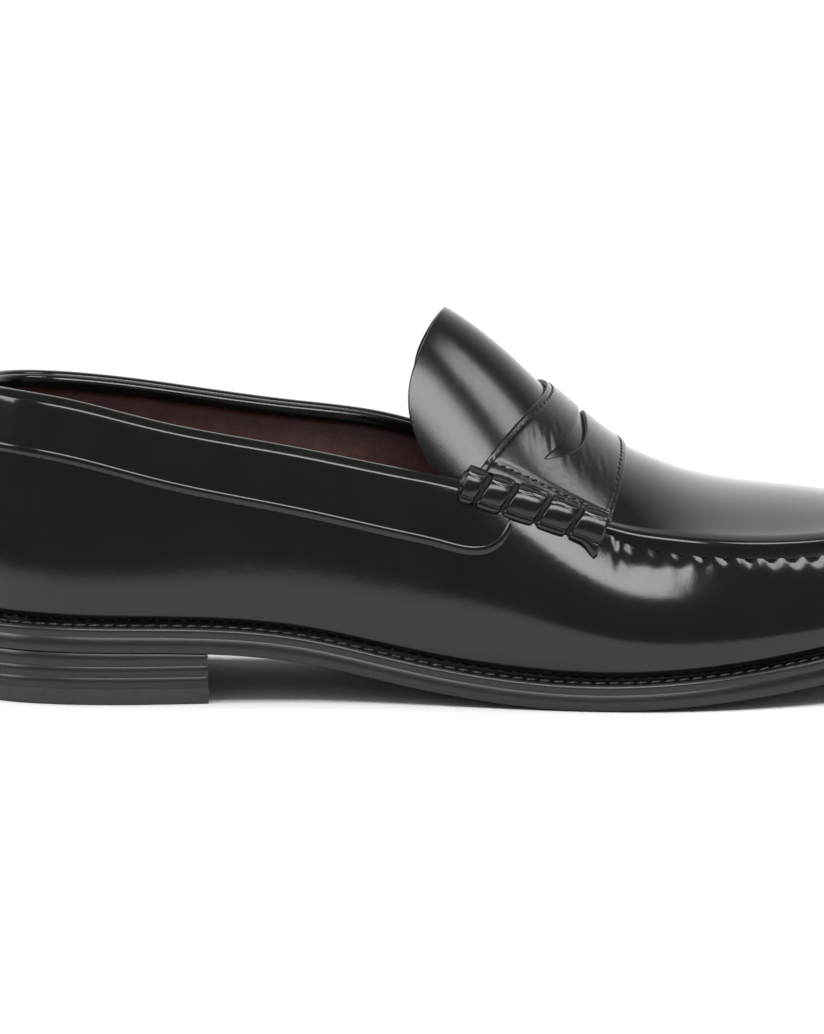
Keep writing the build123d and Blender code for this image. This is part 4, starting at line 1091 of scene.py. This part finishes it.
wound_cord = cord_tree()
roll_calf = calf("roll_box_calf", scratch=0.35, gloss=0.2)
for name, side in (("lateral", -1), ("medial", 1)):
    axes = roll_axes(side)
    length = axes[-1]
    s, theta = np.meshgrid(np.linspace(0, length, 300), np.linspace(0, 2 * np.pi, 128, endpoint=False),
                           indexing="ij")
    rows, columns = s.shape
    faces = [[i * columns + j, i * columns + (j + 1) % columns, (i + 1) * columns + (j + 1) % columns,
              (i + 1) * columns + j] for i in range(rows - 1) for j in range(columns)]
    faces.append(list(range(columns))[::-1])
    faces.append([(rows - 1) * columns + j for j in range(columns)])
    piece = to_object(f"beef_roll_{name}_calf", on_roll(axes, s, theta).reshape(-1, 3), faces)
    place_piece(finish_mesh(piece, angle=60), roll_calf, "upper_leather", f"beef_roll_{name}")

    # Three turns of cord side by side in each groove.
    turns = np.linspace(0, 3, 181)
    lines = []
    for share in ROLL_GROOVES:
        s = share * length + 0.36 * (turns - 1.5) + 1.1 * np.sin(2 * np.pi * turns)
        line = on_roll(axes, s, 2 * np.pi * turns, 0.04)
        lines.append((line, line))
    cord = run_tree(f"roll_cord_{name}", wound_cord, lines, {"Radius": 0.0002, "Thread": strap_thread})
    place_stitches(cord, f"roll_binding_{name}")


# ---- Floor, light and camera ---------------------------------------------------------------------
# A pale studio floor, of which only the part near the shoe mirrors in its polish. Three soft lights
# on the viewer's side show in the polish alone, one above shows everywhere but in it, and in the
# polish the room is dim on the viewer's side and white on the far side.
def floor_disc(name, reach, middle, height, mirrored):
    """An oval of painted floor that fades out at its rim. Only a mirrored one shows in the polish."""
    material, tree, shader = new_material(name + "_paint", Roughness=0.9, Specular_IOR_Level=0.1)
    place = add_node(tree, "ShaderNodeTexCoord").outputs["Object"]
    speck = add_node(tree, "ShaderNodeTexNoise", {"Vector": place}, Scale=40.0, Detail=3.0)
    tint = add_node(tree, "ShaderNodeValToRGB", {"Fac": speck.outputs["Fac"]})
    tint.color_ramp.elements[0].color = linear("f4f4f4")
    tint.color_ramp.elements[1].color = linear("f8f8f8")
    tree.links.new(tint.outputs[0], shader.inputs["Base Color"])
    share = add_node(tree, "ShaderNodeMapping", {"Vector": place}, Scale=(1 / reach[0], 1 / reach[1], 0))
    away = add_node(tree, "ShaderNodeVectorMath", {0: share.outputs[0]}, operation="LENGTH")
    fade = add_node(tree, "ShaderNodeMapRange", {"Value": away.outputs["Value"]},
                    interpolation_type="SMOOTHSTEP", From_Min=0.8, From_Max=1.0)
    clear = add_node(tree, "ShaderNodeBsdfTransparent")
    mix = add_node(tree, "ShaderNodeMixShader",
                   {0: fade.outputs[0], 1: shader.outputs[0], 2: clear.outputs[0]})
    output = next(node for node in tree.nodes if node.type == "OUTPUT_MATERIAL")
    tree.links.new(mix.outputs[0], output.inputs["Surface"])
    mesh = bpy.data.meshes.new(name)
    angle = np.linspace(0, 2 * np.pi, 96, endpoint=False)
    rim = np.c_[reach[0] * np.cos(angle), reach[1] * np.sin(angle), 0 * angle]
    mesh.from_pydata(rim, [], [list(range(len(rim)))])
    disc = bpy.data.objects.new(name, mesh)
    disc.location = (*middle, height)
    bpy.context.scene.collection.objects.link(disc)
    disc.data.materials.append(material)
    disc.visible_glossy = mirrored


floor_disc("floor_near", (0.44, 0.25), (0.09, 0), -0.0001, True)
floor_disc("floor_far", (1.0, 0.62), (0, -0.1), -0.0003, False)


def soft_light(name, position, width, height, power, glossy=True, diffuse=True):
    """A rectangular soft light that looks at the shoe. It may be seen only in the polish, or not in it."""
    data = bpy.data.lights.new(name, "AREA")
    data.shape = "RECTANGLE"
    data.size = width
    data.size_y = height
    data.energy = power
    light = bpy.data.objects.new(name, data)
    light.location = position
    light.rotation_euler = (Vector((0, 0, 0.05)) - Vector(position)).to_track_quat("-Z", "Y").to_euler()
    light.visible_glossy = glossy
    light.visible_diffuse = diffuse
    bpy.context.scene.collection.objects.link(light)


soft_light("front_softbox", (-0.1, -0.98, 0.82), 0.96, 0.44, 12, diffuse=False)
soft_light("right_softbox", (0.86, -0.52, 1.3), 0.6, 0.36, 5, diffuse=False)
soft_light("left_softbox", (-1.2, -0.55, 0.7), 0.6, 0.6, 8, diffuse=False)
soft_light("top_softbox", (0.0, -0.1, 1.8), 2.2, 1.4, 47, glossy=False)

world = bpy.data.worlds.new("studio")
bpy.context.scene.world = world
world.use_nodes = True
tree = world.node_tree
tree.nodes.clear()
direction = add_node(tree, "ShaderNodeTexCoord").outputs["Generated"]
axes = add_node(tree, "ShaderNodeSeparateXYZ", {0: direction})
behind = add_node(tree, "ShaderNodeMapRange", {"Value": axes.outputs["Y"]},
                  From_Min=0.1, From_Max=0.8, To_Min=0.2, To_Max=1.8)
seen = add_node(tree, "ShaderNodeLightPath")
mirrored = add_node(tree, "ShaderNodeBackground", {"Strength": behind.outputs[0]}, Color=(1, 1, 1, 1))
room = add_node(tree, "ShaderNodeBackground", Color=(1, 1, 1, 1), Strength=0.3)
white = add_node(tree, "ShaderNodeBackground", Color=(1, 1, 1, 1), Strength=1.05)
lit = add_node(tree, "ShaderNodeMixShader", {
    0: seen.outputs["Is Glossy Ray"], 1: room.outputs[0], 2: mirrored.outputs[0]})
mix = add_node(tree, "ShaderNodeMixShader", {
    0: seen.outputs["Is Camera Ray"], 1: lit.outputs[0], 2: white.outputs[0]})
add_node(tree, "ShaderNodeOutputWorld", {0: mix.outputs[0]})

VIEW_DISTANCE = 1.4
VIEW_ELEVATION = math.radians(10)
VIEW_TURN = math.radians(-3)
data = bpy.data.cameras.new("view")
data.lens = 168.6
data.sensor_width = 36
camera = bpy.data.objects.new("view", data)
bpy.context.scene.collection.objects.link(camera)
looked_at = np.array([131.6, 0, 47.0]) + to_frame
offset = np.array([math.sin(VIEW_TURN) * math.cos(VIEW_ELEVATION),
                   -math.cos(VIEW_TURN) * math.cos(VIEW_ELEVATION),
                   math.sin(VIEW_ELEVATION)])
camera.location = looked_at / 1000 + VIEW_DISTANCE * offset
camera.rotation_euler = (math.pi / 2 - VIEW_ELEVATION, 0, VIEW_TURN)
bpy.context.scene.camera = camera
bpy.context.scene.view_settings.view_transform = "Standard"
